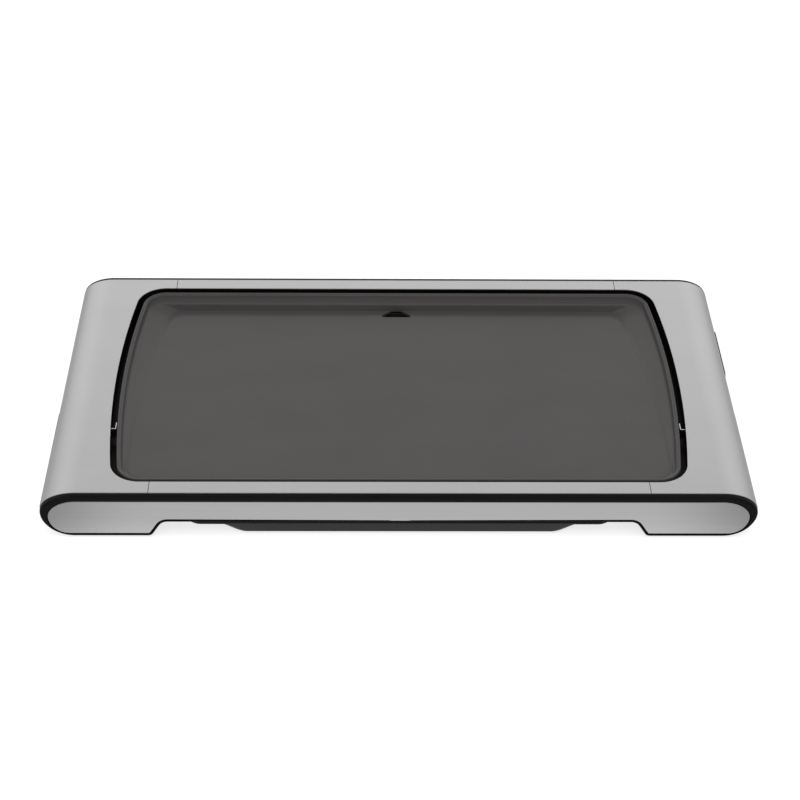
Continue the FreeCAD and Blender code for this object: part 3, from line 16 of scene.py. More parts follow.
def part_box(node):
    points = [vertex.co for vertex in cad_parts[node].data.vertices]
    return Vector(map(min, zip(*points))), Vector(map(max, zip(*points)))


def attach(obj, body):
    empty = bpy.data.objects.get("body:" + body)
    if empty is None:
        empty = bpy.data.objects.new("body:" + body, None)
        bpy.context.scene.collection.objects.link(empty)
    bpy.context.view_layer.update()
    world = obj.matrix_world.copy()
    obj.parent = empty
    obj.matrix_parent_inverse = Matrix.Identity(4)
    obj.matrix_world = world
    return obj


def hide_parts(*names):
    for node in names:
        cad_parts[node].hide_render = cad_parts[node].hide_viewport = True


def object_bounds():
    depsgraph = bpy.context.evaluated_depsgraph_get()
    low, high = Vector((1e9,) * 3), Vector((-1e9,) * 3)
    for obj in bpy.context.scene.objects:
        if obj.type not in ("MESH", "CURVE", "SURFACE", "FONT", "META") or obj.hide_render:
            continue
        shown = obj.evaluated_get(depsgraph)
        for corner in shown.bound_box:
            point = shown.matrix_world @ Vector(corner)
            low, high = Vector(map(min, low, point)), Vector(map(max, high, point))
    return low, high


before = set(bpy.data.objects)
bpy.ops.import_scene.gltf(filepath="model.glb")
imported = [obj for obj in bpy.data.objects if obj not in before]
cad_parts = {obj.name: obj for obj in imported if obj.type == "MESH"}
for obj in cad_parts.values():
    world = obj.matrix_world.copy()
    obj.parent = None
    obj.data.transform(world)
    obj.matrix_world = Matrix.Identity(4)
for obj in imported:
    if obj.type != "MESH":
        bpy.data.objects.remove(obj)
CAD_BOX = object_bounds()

bl_info = {
    "name": "Electric griddle",
    "version": (1, 0, 0),
    "blender": (4, 5, 0),
    "location": "View3D > Sidebar > Griddle",
    "description": "Finishes, fasteners, feet and studio for a table-top electric griddle",
    "category": "Object",
}

SCRATCH_RUN = 0.09
SHARP_ANGLE, SOFT_ANGLE = radians(32), radians(40)
WELD_DISTANCE = 0.00001

# Screws and rivets: heads, shanks and the upright and flat shares of a pan head
HEAD_HEIGHTS = {"base_screws": 0.0016, "leg_screws": 0.001}
RIVET_CAP = 0.0005
SHANK_RADIUS = 0.00125
HEAD_WALL, HEAD_FLAT = 0.35, 0.55
RECESS_TAPER = 0.9

# Steps of an outline's straight, corner, side and second corner, and of smaller curves
RING_STEPS = (14, 20, 14, 12)
ROUND_STEPS, ARCH_STEPS, END_STEPS, TOP_STEPS = 3, 32, 20, 12
# Rows of the bank round the cooking surface, from its foot outside to the level surface inside
BANK_SHARES = (1.0, 0.4, 0.0, -0.5)
# Foot of the plate's wall and break of its ledge, in rounds of the step's edge
FOOT_RUN, FOOT_RISE, BREAK_FALL = 0.6, 1.2, 0.4
# A fold of the tray, in folds: along the slope, outwards and down; and the flat inside the lower one
FOLD = ((0, 1, 0), (0, 0.1, 0.3), (1, 0, 1))
FOLD_FLAT = 4
# The round brow of a lip's shoulder, in rounds: outwards and down
BROW = ((-1.0, -0.1), (-0.3, 0.1), (0.1, 0.4), (0.4, 0.9))
SET_BACK = 0.002

# Light tent: brightness by height, then the back wall, the front and the sides
SKY_STOPS = ((0.0, 0.95), (0.52, 0.90), (0.60, 0.86), (0.66, 0.68), (0.74, 0.50), (0.85, 0.22), (1.0, 0.08))
SKY_LEVEL = 1.25
BACK_WALL, FRONT_SHARE = (-0.5, 0.3), 0.5
SIDE_FALL, SIDE_DARK = (0.02, 0.75), 0.55
OVERHEAD_PLACE, OVERHEAD_SIZE = (0.0, -0.5, 1.9), (2.2, 2.0)
# Floor, and the painted shade of its glowing reflection sheet: darker to the sides and to the front
FLOOR_HALF, MIRROR_DROP = 5.0, 0.001
FLOOR_FALL, FLOOR_DARK = (0.045, 0.11), 0.4
FLOOR_FRONT, FRONT_DARK = (0.167, 0.2), 0.17


def number(name, description, default, **kind):
    """A number that the panel can change."""
    return FloatProperty(name=name, description=description, default=default, **kind)


def length(name, description, default):
    """A length in metres that the panel can change."""
    return number(name, description, default, min=0.0, precision=5, unit="LENGTH")


def colour(name, description, default):
    """A colour that the panel can change."""
    return FloatVectorProperty(name=name, description=description, default=default, size=3, min=0, max=1,
                               subtype="COLOR")


def declared(make):
    """Makes a group's properties from pairs of a default and a description, named after themselves."""
    def declare(group):
        for name, (default, description) in group.__annotations__.items():
            group.__annotations__[name] = make(name.replace("_", " ").capitalize(), description, default)
        return group
    return declare


@declared(length)
class GriddleSizes(PropertyGroup):
    """Sizes of the surface detail and of the small parts that are made here."""

    grain_length: (SCRATCH_RUN, "Length of the scratches of brushed steel")
    grain_pitch: (0.00045, "Distance between the scratches of brushed steel")
    mould_pitch: (0.00035, "Pitch of the fine texture of black mouldings")
    coating_pitch: (0.0007, "Pitch of the sprayed coating of the plate")
    # Reach of the rounded edge normal, and of the painted highlight and wear along edges
    worn_edge: (0.0006, "Reach of the wear along the edges of metal")
    spangle: (0.006, "Crystals of the aluminised sheet")
    recess_depth: (0.0009, "Depth of the cross in a screw head")
    recess_reach: (0.0019, "Half length of the cross in a screw head")
    recess_slot: (0.00042, "Half width of the cross in a screw head")
    thread_pitch: (0.0014, "Pitch of the screws' thread")
    thread_depth: (0.0003, "Depth of the screws' thread")
    foot_groove: (0.0005, "Depth of the rings under a rubber foot")


@declared(length)
class GriddleForms(PropertyGroup):
    """Sizes of the cast plate, from its rim inwards, of the lips' shoulders and of the pressed tray."""

    plate_bow: (0.9704, "Radius of the plate's short sides")
    plate_corner: (0.0214, "Corner radius of the plate")
    skirt_height: (0.0145, "Height of the plate's outer wall")
    seat_inset: (0.013, "Plate's edge in to its raised underside")
    seat_corner: (0.0149, "Corner radius of the raised underside")
    edge_round: (0.0008, "Rounded edges of the rim")
    rim_width: (0.002, "Flat top of the rim")
    rim_step: (0.0011, "Depth of the step inside the rim")
    rim_shelf: (0.0016, "Width of that step")
    step_round: (0.0004, "Rounded edge of that step")
    rim_wall: (0.0065, "Rim down to the ledge")
    rim_run: (0.0013, "Slope of the wall below the step")
    ledge_side: (0.0013, "Ledge inside the wall, sides and front")
    ledge_rear: (0.0063, "Ledge inside the rear wall")
    ledge_ramp: (0.003, "Ramp from the front ledge to the moat")
    moat_front: (0.001, "Moat below the ledge, front")
    moat_rear: (0.0067, "Moat below the ledge, rear")
    moat_side: (0.033, "Plate's side to the ramp's foot, rear")
    channel_width: (0.0107, "Grease channel behind the surface")
    channel_slope: (0.0016, "Slope of the channel's rear wall")
    floor_front: (0.0008, "Surface below the ledge, front")
    floor_rear: (0.0049, "Surface below the ledge, rear")
    crease_front: (0.0162, "Plate's side to its surface, front")
    crease_rear: (0.0379, "Plate's side to its surface, rear")
    crease_bow: (1.05, "Radius of the surface's short sides")
    bank_front: (0.0015, "Bank round the surface, front")
    bank_side: (0.0042, "Bank at the rear ends")
    bank_rear: (0.0075, "Bank towards the channel")
    bank_brow: (0.0012, "Height of the bank's steep part")
    drain_width: (0.028, "Straight front edge of the drain")
    drain_reach: (0.0135, "Depth of the drain's arch")
    drain_lap: (0.0032, "Drain's edge in front of the channel")
    lip_root: (0.16102, "Griddle's middle to a lip's root")
    lip_face: (0.1665, "Griddle's middle to a lip's rim")
    lip_step: (0.0004, "Root of a lip below the covers")
    lip_shoulder: (0.0042, "Root of a lip to its shoulder")
    shoulder_drop: (0.0004, "Shoulder below the root")
    shoulder_draw: (0.0005, "How far the shoulder's ends draw in")
    shoulder_round: (0.0006, "Rounded edge of the shoulder")
    lip_drop: (0.0033, "Rim of a lip below the covers")
    lip_draw: (0.0018, "How far a rim's ends draw in")
    band_depth: (0.001, "Thickness of the shoulder over the lip")
    end_drop: (0.0195, "Widest line of an end, below the covers")
    upper_curve: (0.031, "Reach of an end's upper curve")
    lower_curve: (0.027, "Reach of an end's lower curve")
    sheet_round: (0.0003, "Rounded edges of the steel covers and fascias")
    tray_half: (0.1855, "Griddle's middle to the tray's side")
    tray_corner: (0.014, "Corner radius of the tray's rim")
    tray_sheet: (0.001, "Thickness of the tray")
    tray_lip: (0.0019, "Height of the tray's turned-down rim")
    basin_side: (0.0189, "Rim beside the basin")
    basin_slope: (0.0196, "How far the basin's ends slope in")
    basin_front: (0.0018, "Rim in front of the basin")
    basin_draft: (0.0008, "Slope of the basin's front wall")
    basin_rear: (0.011, "Rim behind the basin")
    basin_back: (0.014, "Slope of the basin's rear wall")
    basin_floor: (0.0031, "Underside of the tray above the table")
    basin_round: (0.001, "Rounded folds of the basin")
    foot_height: (0.0023, "Table to the underside of the legs")


@declared(colour)
class GriddleColours(PropertyGroup):
    """Colours of the griddle's finishes."""

    steel: ((0.555, 0.555, 0.555), "Brushed stainless steel of the covers and fascias")
    moulding: ((0.0052, 0.0052, 0.0055), "Black moulding of the housing")
    coating: ((0.080, 0.0755, 0.0740), "Non-stick coating of the cooking plate")
    tray: ((0.0115, 0.0115, 0.012), "Coating of the drip tray")
    sheath: ((0.235, 0.215, 0.195), "Sheath of the heating element")
    tint: ((0.30, 0.19, 0.10), "Straw tint where the sheath has been hottest")
    reflector: ((0.74, 0.74, 0.75), "Aluminised sheet of the reflector")
    enamel: ((0.02, 0.02, 0.021), "Black enamelled sheet of the base plate and chute")
    folded: ((0.50, 0.50, 0.505), "Plain steel of the runners and brackets")
    rubber: ((0.028, 0.028, 0.029), "Rubber feet")
    silicone: ((0.33, 0.32, 0.30), "Heat-proof pads")
    ceramic: ((0.74, 0.71, 0.64), "Terminal block")
    nickel: ((0.72, 0.70, 0.66), "Contact pins and sensor guide")
    zinc: ((0.58, 0.585, 0.60), "Screws and rivets")
    spring: ((0.68, 0.68, 0.69), "Plate clips")
    floor: ((0.55, 0.55, 0.55), "Pale floor of the studio")


class GriddleStudio(PropertyGroup):
    """The camera and the light."""

    lens: number("Lens", "Focal length", 84.31, min=1, unit="CAMERA")
    aim: FloatVectorProperty(name="Aim", description="Point on the table that the camera looks at",
                             default=(0.0028, 0.0274, 0.0), size=3, subtype="TRANSLATION", unit="LENGTH")
    distance: length("Distance", "Camera to the aim", 1.7796)
    pitch: number("Pitch", "How steeply the camera looks down", radians(38.0), subtype="ANGLE")
    turn: number("Turn", "How far the camera is turned to the right", radians(1.262), subtype="ANGLE")
    roll: number("Roll", "How far the camera leans", radians(0.901), subtype="ANGLE")
    sky: number("Sky", "Strength of the light tent", 1.0, min=0)
    overhead: number("Overhead", "Power of the overhead softbox in watts", 26.0, min=0, unit="POWER")
    floor_glow: number("Floor glow", "Light that the lit floor table adds", 0.75, min=0)
    floor_shine: number("Floor shine", "How bright the floor is in reflections", 0.95, min=0)


# ---- shader building


class Value:
    """A number that varies over a surface; sums of values add their Math nodes."""

    def __init__(self, finish, socket):
        self.finish = finish
        self.socket = socket

    def join(self, operation, first, second):
        node = self.finish.node("ShaderNodeMath", {"operation": operation}, {0: first, 1: second})
        return Value(self.finish, node.outputs[0])

    def __add__(self, other):
        return self.join("ADD", self, other)

    def __radd__(self, other):
        return self.join("ADD", other, self)

    def __sub__(self, other):
        return self.join("SUBTRACT", self, other)

    def __rsub__(self, other):
        return self.join("SUBTRACT", other, self)

    def __mul__(self, other):
        return self.join("MULTIPLY", self, other)

    def __rmul__(self, other):
        return self.join("MULTIPLY", other, self)

    def above(self, low, high):
        """Nought below low, one above high, and a smooth step between."""
        node = self.finish.node("ShaderNodeMapRange", {"interpolation_type": "SMOOTHSTEP"},
                                {"Value": self, "From Min": low, "From Max": high})
        return Value(self.finish, node.outputs[0])


class Finish:
    """One material, built from nodes and from sums of values."""

    def __init__(self, name, tree=None):
        scene = bpy.context.scene
        self.sizes, self.colours = scene.griddle_sizes, scene.griddle_colours
        if tree is None:
            self.material = bpy.data.materials.new(name)
            self.material.use_nodes = True
            tree = self.material.node_tree
        tree.nodes.clear()
        self.tree = tree

    def node(self, kind, settings=None, inputs=None):
        """A node of a kind: its settings are made first, then the values or links of its sockets."""
        made = self.tree.nodes.new(kind)
        for name, value in (settings or {}).items():
            if name == "stops":
                self.set_stops(made.color_ramp, value)
            else:
                setattr(made, name, value)
        for name, value in (inputs or {}).items():
            self.feed(made.inputs[name], value)
        return made

    def feed(self, socket, value):
        """Links a value or a socket; a plain number or colour is set."""
        if isinstance(value, Value):
            value = value.socket
        if isinstance(value, NodeSocket):
            self.tree.links.new(value, socket)
        else:
            socket.default_value = value

    def set_stops(self, ramp, stops):
        while len(ramp.elements) < len(stops):
            ramp.elements.new(1.0)
        for element, (place, shade) in zip(ramp.elements, stops):
            element.position = place
            element.color = (shade, shade, shade, 1.0)

    @cached_property
    def place(self):
        """Where a point of the surface lies in the piece's own frame."""
        return self.node("ShaderNodeTexCoord").outputs["Object"]

    def axes(self, vector):
        """The three parts of a vector."""
        return [Value(self, part) for part in self.node("ShaderNodeSeparateXYZ", inputs={0: vector}).outputs]

    def scaled(self, pitch):
        """The place, counted in pitches along each axis."""
        counts = tuple(1 / step for step in pitch)
        return self.node("ShaderNodeVectorMath", {"operation": "MULTIPLY"}, {0: self.place, 1: counts}).outputs[0]

    def noise(self, pitch, detail=2.0, rough=0.55):
        """Smooth noise, about 0.5 on average, with a pitch along each axis."""
        inputs = {"Vector": self.scaled(pitch), "Scale": 1.0, "Detail": detail, "Roughness": rough}
        return Value(self, self.node("ShaderNodeTexNoise", inputs=inputs).outputs[0])

    def cells(self, pitch, output="Distance"):
        """Voronoi cells with a pitch along each axis."""
        made = self.node("ShaderNodeTexVoronoi", inputs={"Vector": self.scaled(pitch), "Scale": 1.0})
        return Value(self, made.outputs[output])

    @cached_property
    def rounded(self):
        """The normal, softened within the reach of the wear and the painted highlight along edges."""
        return self.node("ShaderNodeBevel", {"samples": 6}, {"Radius": self.sizes.worn_edge}).outputs[0]

    def edges(self):
        """One along edges, nought on open faces: the mask of the painted edge highlight and of the wear."""
        flat = self.node("ShaderNodeNewGeometry").outputs["Normal"]
        match = self.node("ShaderNodeVectorMath", {"operation": "DOT_PRODUCT"}, {0: self.rounded, 1: flat})
        return (1.0 - Value(self, match.outputs["Value"])).above(0.02, 0.25)

    def blend(self, factor, first, second):
        """From the first colour to the second as the factor goes from nought to one."""
        shades = {0: factor, 6: opaque(first), 7: opaque(second)}
        return self.node("ShaderNodeMix", {"data_type": "RGBA"}, shades).outputs[2]

    def shade(self, factor, base, darker, lighter):
        """A colour that goes from darker to lighter shares of itself."""
        return self.blend(factor, toned(base, darker), toned(base, lighter))

    def surface(self, base, roughness, height, depth, soft=True, **constants):
        """Closes the material: colour, roughness, a relief of a real depth and soft edges."""
        relief = {"Height": height, "Distance": depth, "Strength": 1.0}
        if soft:
            relief["Normal"] = self.rounded
        bump = self.node("ShaderNodeBump", inputs=relief)
        shader = self.node("ShaderNodeBsdfPrincipled", inputs={"Normal": bump.outputs[0]})
        for name, value in {"Base_Color": base, "Roughness": roughness, **constants}.items():
            self.feed(shader.inputs[name.replace("_", " ")], value)
        self.node("ShaderNodeOutputMaterial", inputs={"Surface": shader.outputs[0]})
        return self.material


def opaque(shade):
    """A colour with full alpha; a socket stays as it is."""
    return shade if isinstance(shade, NodeSocket) else (*shade, 1.0)


def toned(shade, share):
    """A colour times a share, kept within the range of a colour."""
    return tuple(min(part * share, 1.0) for part in shade)


# ---- finishes


def brushed_steel(name, across_z):
    """Brushed stainless steel whose grain runs along X, lighter along its edges with a painted highlight and wear."""
    finish = Finish(name)
    steel, pitch, run = finish.colours.steel, finish.sizes.grain_pitch, finish.sizes.grain_length

    def grain(coarser):
        step = pitch * coarser
        return finish.noise((run * coarser ** 0.5, step, step if across_z else run))

    fine, medium, broad = grain(1), grain(4), grain(16)
    cloud = finish.noise((0.07, 0.05, 0.07), 3.0)
    edge_sheen_and_wear = finish.edges()
    streak = fine * 0.6 + medium * 0.3 + broad * 0.1
    # Lighter along the edges: painted highlight and wear.
    base = finish.blend(edge_sheen_and_wear * 0.8, finish.shade(streak.above(0.3, 0.7), steel, 0.965, 1.03), toned(steel, 1.35))
    roughness = 0.24 + streak * 0.14 + cloud * 0.08 - edge_sheen_and_wear * 0.08
    return finish.surface(base, roughness, fine * 0.7 + medium * 0.3, 0.000012, Metallic=1.0)


def black_moulding(name, roughness):
    """Fine-textured black moulding, lighter along its edges: a little polish and a painted highlight."""
    finish = Finish(name)
    black = finish.colours.moulding
    spark = finish.noise((finish.sizes.mould_pitch,) * 3, 3.0, 0.65)
    flow = finish.noise((0.06, 0.02, 0.03), 3.0)
    edge_sheen_and_wear = finish.edges()
    # Lighter along the edges: painted highlight and a little polish.
    base = finish.blend(edge_sheen_and_wear * 0.5, finish.shade(flow, black, 0.8, 1.25), toned(black, 1.8))
    shine = roughness + (spark - 0.5) * 0.16 + (flow - 0.5) * 0.12 - edge_sheen_and_wear * 0.06
    return finish.surface(base, shine, spark, 0.00003, Specular_IOR_Level=0.1)


def sprayed_coating(name, shade, roughness, depth, specular=0.5):
    """Satin coating sprayed on metal: fine speckle, slow variations of tone, and a painted highlight with wear along
    edges.
    """
    finish = Finish(name)
    pitch = finish.sizes.coating_pitch
    speckle = finish.noise((pitch,) * 3, 3.0, 0.6)
    peel = finish.noise((pitch * 5,) * 3, 2.0)
    flow = finish.noise((0.09, 0.05, 0.03), 4.0)
    flecks = finish.cells((pitch * 2.2,) * 3).above(0.34, 0.1)
    edge_sheen_and_wear = finish.edges()
    tone = speckle * 0.45 + flow * 0.55
    base = finish.blend(flecks * 0.12, finish.shade(tone.above(0.3, 0.7), shade, 0.93, 1.07), toned(shade, 1.7))
    # Lighter along the edges: painted highlight on the rim, step and bank edges, and wear.
    base = finish.blend(edge_sheen_and_wear * 0.4, base, toned(shade, 1.6))
    shine = roughness + (speckle - 0.5) * 0.14 + (flow - 0.5) * 0.1 - edge_sheen_and_wear * 0.05
    return finish.surface(base, shine, speckle * 0.6 + peel * 0.4, depth, Specular_IOR_Level=specular)


def rolled_sheet(name, shade, roughness):
    """Plain rolled sheet metal: long faint lines, scuffs, and a painted highlight with wear along edges."""
    finish = Finish(name)
    lines = finish.noise((SCRATCH_RUN, 0.0009, 0.0009), 3.0)
    scuff = finish.noise((0.012, 0.03, 0.012), 4.0, 0.65)
    edge_sheen_and_wear = finish.edges()
    # Lighter along the edges: painted highlight and wear.
    base = finish.blend(edge_sheen_and_wear * 0.5, finish.shade((lines * 0.6 + scuff * 0.4).above(0.3, 0.7), shade, 0.86, 1.08),
                        toned(shade, 1.25))
    shine = roughness + (scuff - 0.5) * 0.3 + (lines - 0.5) * 0.12
    return finish.surface(base, shine, lines, 0.000012, Metallic=1.0)


def spangled_sheet(name, shade, roughness):
    """Aluminised sheet with faint crystals."""
    finish = Finish(name)
    pitch = (finish.sizes.spangle,) * 3
    crystal, edge_of_crystal = finish.cells(pitch, "Color"), finish.cells(pitch)
    scuff = finish.noise((0.05, 0.004, 0.01), 4.0, 0.6)
    tone = (crystal * 0.5 + scuff * 0.5).above(0.2, 0.8)
    base = finish.shade(tone, shade, 0.82, 1.08)
    shine = roughness + (crystal - 0.5) * 0.14 + (scuff - 0.5) * 0.16
    return finish.surface(base, shine, edge_of_crystal * 0.6 + scuff * 0.4, 0.00002, Metallic=1.0)


def heat_tinted_sheath(name):
    """Steel sheath of the element with straw-coloured heat marks and faint drawing lines."""
    finish = Finish(name)
    heat = finish.noise((0.045, 0.03, 0.03), 3.0).above(0.42, 0.68)
    grit = finish.noise((0.0006,) * 3, 3.0, 0.6)
    drawn = finish.noise((0.03, 0.0008, 0.0008), 2.0)
    base = finish.blend(heat * 0.55, finish.shade(grit, finish.colours.sheath, 0.75, 1.2), finish.colours.tint)
    shine = 0.36 + heat * 0.14 + (grit - 0.5) * 0.2
    return finish.surface(base, shine, drawn * 0.5 + grit * 0.5, 0.00002, False, Metallic=0.9)


def soft_rubber(name, shade, roughness):
    """Rubber or silicone: matt, faintly grained, with edges lighter from dust and a painted sheen."""
    finish = Finish(name)
    grain = finish.noise((0.0005,) * 3, 3.0, 0.7)
    dust = finish.noise((0.008, 0.008, 0.004), 4.0, 0.65)
    edge_sheen_and_wear = finish.edges()
    # Lighter along the edges: dust and painted sheen.
    base = finish.blend(edge_sheen_and_wear * 0.4, finish.shade(dust, shade, 0.8, 1.3), toned(shade, 1.9))
    shine = roughness + (grain - 0.5) * 0.2 + (dust - 0.5) * 0.12
    return finish.surface(base, shine, grain, 0.00004)


def fired_ceramic(name, shade):
    """Unglazed heat-proof ceramic: fine pores darkened with painted shade, and faint stains."""
    finish = Finish(name)
    pores = finish.cells((0.0011,) * 3).above(0.28, 0.05)
    grain = finish.noise((0.0004,) * 3, 3.0, 0.7)
    stain = finish.noise((0.012, 0.012, 0.012), 4.0)
    # Darker in the pores: painted shade in the pits.
    base = finish.blend(pores * 0.5, finish.shade(stain, shade, 0.86, 1.06), toned(shade, 0.5))
    shine = 0.62 + (grain - 0.5) * 0.24
    return finish.surface(base, shine, grain - pores, 0.00005)


def plated_metal(name, shade, roughness):
    """Bright plating over turned metal: fine rings of the lathe and faint clouding."""
    finish = Finish(name)
    rings = finish.noise((0.0003, 0.004, 0.004), 2.0)
    cloud = finish.noise((0.003,) * 3, 3.0)
    base = finish.shade((rings * 0.4 + cloud * 0.6).above(0.3, 0.7), shade, 0.84, 1.1)
    shine = roughness + (rings - 0.5) * 0.12 + (cloud - 0.5) * 0.16
    return finish.surface(base, shine, rings * 0.5 + cloud * 0.5, 0.000015, Metallic=1.0)


# ---- pieces


def dress(material, *nodes):
    """Gives carried-over pieces their finish."""
    for node in nodes:
        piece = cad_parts[node]
        piece.data.materials.clear()
        piece.data.materials.append(material)


def soften(width, *nodes):
    """Gives carried-over pieces edges that are slightly rounded and catch the light."""
    for node in nodes:
        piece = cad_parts[node]
        piece.modifiers.new("joined", "WELD").merge_threshold = WELD_DISTANCE
        bevel = piece.modifiers.new("soft_edges", "BEVEL")
        bevel.width = width
        bevel.segments = 2
        bevel.limit_method = "ANGLE"
        bevel.angle_limit = SOFT_ANGLE
        piece.modifiers.new("even_shading", "WEIGHTED_NORMAL").keep_sharp = True


def linked(name, data):
    """A new object in the scene; a bmesh is used up."""
    if isinstance(data, bmesh.types.BMesh):
        mesh, data = data, bpy.data.meshes.new(name)
        mesh.to_mesh(data)
        mesh.free()
    thing = bpy.data.objects.new(name, data)
    bpy.context.scene.collection.objects.link(thing)
    return thing


def new_piece(name, mesh, body, slot, material, *replaced):
    """An object from a bmesh that rides on a body, stands for carried-over nodes and has a finish."""
    bmesh.ops.recalc_face_normals(mesh, faces=mesh.faces[:])
    piece = linked(name, mesh)
    piece.data.shade_smooth()
    piece.data.set_sharp_from_angle(angle=SHARP_ANGLE)
    piece.data.materials.append(material)
    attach(piece, body)
    if replaced:
        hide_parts(*replaced)


def skin(mesh, rings, closed=True, capped=True):
    """Joins rows of corners, each to the next; a row of one corner is a pole."""
    for low, high in zip(rings, rings[1:]):
        steps = max(len(low), len(high))
        for number in range(steps if closed else steps - 1):
            after = (number + 1) % steps
            corners = (low[number % len(low)], low[after % len(low)], high[after % len(high)],
                       high[number % len(high)])
            mesh.faces.new(list(dict.fromkeys(corners)))
    if capped:
        mesh.faces.new(rings[0])
        mesh.faces.new(rings[-1])


def turned_ring(mesh, radii, height, place=Vector()):
    """Adds corners round an upright axis, one for each radius."""
    turns = [tau * number / len(radii) for number in range(len(radii))]
    return [mesh.verts.new(place + Vector((radius * cos(turn), radius * sin(turn), height)))
            for radius, turn in zip(radii, turns)]


def turn_profile(mesh, profile, steps, place=Vector()):
    """Adds a profile of (radius, height) points turned about an upright axis; a nought radius is a pole."""
    rings = [turned_ring(mesh, [radius] * (steps if radius > 0 else 1), height, place) for radius, height in profile]
    skin(mesh, rings, capped=False)


def solids_of(node):
    """The lowest and highest corner of each separate solid of a carried-over node."""
    mesh = bmesh.new()
    mesh.from_mesh(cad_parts[node].data)
    bmesh.ops.remove_doubles(mesh, verts=mesh.verts[:], dist=WELD_DISTANCE)
    left = set(mesh.verts)
    boxes = []
    while left:
        found, edge = [], [left.pop()]
        while edge:
            vert = edge.pop()
            found.append(vert.co)
            near = {link.other_vert(vert) for link in vert.link_edges} & left
            left -= near
            edge += near
        boxes.append([Vector([pick(spot[axis] for spot in found) for axis in range(3)]) for pick in (min, max)])
    boxes.sort(key=lambda box: tuple(box[0]))
    mesh.free()
    return boxes


def cut_away(mesh, cutter):
    """The first mesh less the second, as a new mesh."""
    for part in (mesh, cutter):
        bmesh.ops.recalc_face_normals(part, faces=part.faces[:])
    whole, tool = linked("whole", mesh), linked("tool", cutter)
    modifier = whole.modifiers.new("cut", "BOOLEAN")
    modifier.operation = "DIFFERENCE"
    modifier.solver = "EXACT"
    modifier.object = tool
    depsgraph = bpy.context.evaluated_depsgraph_get()
    data = bpy.data.meshes.new_from_object(whole.evaluated_get(depsgraph))
    for thing in (whole, tool):
        bpy.data.objects.remove(thing)
    result = bmesh.new()
    result.from_mesh(data)
    if not result.faces:
        raise ValueError("the cut left nothing of the piece")
    return result


def tapered_box(wide, deep, low, high):
    """An upright box of two half sizes that narrows upwards."""
    mesh = bmesh.new()
    skin(mesh, [
        [mesh.verts.new((side * wide * share, end * deep * share, level)) for side, end in
         ((-1, -1), (1, -1), (1, 1), (-1, 1))]
        for share, level in ((1.0, low), (RECESS_TAPER, high))
    ])
    return mesh


def screw_head(sizes, radius, cap):
    """Pan head that hangs below its seat at nought, with a cross recess in its underside."""
    profile = [(0.0, 0.0), (radius, 0.0), (radius, -cap * HEAD_WALL)]
    for sine, cosine in quarter_turn(8)[1:-1]:
        profile.append((radius * (HEAD_FLAT + (1 - HEAD_FLAT) * cosine),
                        -cap * (HEAD_WALL + (1 - HEAD_WALL) * sine)))
    head = bmesh.new()
    turn_profile(head, profile + [(radius * 0.5, -cap), (0.0, -cap)], 40)
    floor = min(sizes.recess_depth, cap * 0.75) - cap
    for half in ((sizes.recess_reach, sizes.recess_slot), (sizes.recess_slot, sizes.recess_reach)):
        head = cut_away(head, tapered_box(*half, -cap * 1.4, floor))
    return head


def threaded_shank(mesh, sizes, radius, start, stop):
    """Adds a threaded shank from one height up to another."""
    steps, per_turn = 20, 6
    rings = []
    count = int((stop - start) / sizes.thread_pitch * per_turn)
    for height in (start + (stop - start) * number / count for number in range(count + 1)):
        phases = [(height / sizes.thread_pitch - step / steps) % 1.0 for step in range(steps)]
        rings.append(turned_ring(mesh, [radius - sizes.thread_depth * abs(2 * phase - 1) for phase in phases], height))
    skin(mesh, rings)


def fastener_set(name, node, template, seat, material):
    """A copy of the template on its seat in each place of a carried-over group."""
    data = bpy.data.meshes.new(name)
    template.to_mesh(data)
    template.free()
    whole = bmesh.new()
    for low, high in solids_of(node):
        before = len(whole.verts)
        whole.from_mesh(data)
        whole.verts.ensure_lookup_table()
        place = Vector(((low.x + high.x) / 2, (low.y + high.y) / 2, low.z + seat))
        bmesh.ops.translate(whole, verts=whole.verts[before:], vec=place)
    bpy.data.meshes.remove(data)
    new_piece(name, whole, "griddle", "screw_steel", material, node)


def screw_set(name, node, sizes, material):
    """Cross-head screws in the places of a carried-over group."""
    low, high = solids_of(node)[0]
    cap = HEAD_HEIGHTS[node]
    template = screw_head(sizes, (high.x - low.x) / 2, cap)
    threaded_shank(template, sizes, SHANK_RADIUS, 0.0001, high.z - low.z - cap)
    fastener_set(name, node, template, cap, material)


def rivet_set(material):
    """Domed rivets that hold the runners to the base plate."""
    low, high = solids_of("runner_rivets")[0]
    radius, tall = (high.x - low.x) / 2, high.z - low.z
    dome = [(radius * sine, RIVET_CAP * (1 - cosine)) for sine, cosine in quarter_turn(6)]
    template = bmesh.new()
    turn_profile(template, dome + [(SHANK_RADIUS, RIVET_CAP), (SHANK_RADIUS, tall - 0.0001),
                                   (SHANK_RADIUS * 0.92, tall), (0.0, tall)], 32)
    fastener_set("runner_rivet_set", "runner_rivets", template, 0.0, material)


def ringed_foot(node, groove, material):
    """Rubber foot with two shallow rings in its sole and a peg above."""
    low, high = map(Vector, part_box(node))
    radius = (high.x - low.x) / 2
    step = radius / 9
    sole, peg, edge, bite = 0.0025, 0.0044, 0.0008, 0.00023
    profile = [(0.0, 0.0), (step * 2.2, 0.0)]
    for start in (step * 2.4, step * 5.4):
        profile += [(start, 0.0), (start + step * 0.3, groove), (start + step * 0.9, groove),
                    (start + step * 1.2, 0.0)]
    profile += [(radius - edge, 0.0), (radius - bite, bite), (radius, edge),
                (radius, sole - edge / 4), (radius - edge / 4, sole), (peg, sole), (peg, high.z - edge / 2),
                (peg - edge / 2, high.z), (0.0, high.z)]
    mesh = bmesh.new()
    turn_profile(mesh, profile, 64, Vector(((low.x + high.x) / 2, (low.y + high.y) / 2, 0.0)))
    new_piece("rubber_" + node, mesh, "griddle", "foot_rubber", material, node)


# ---- plate, tray and lips


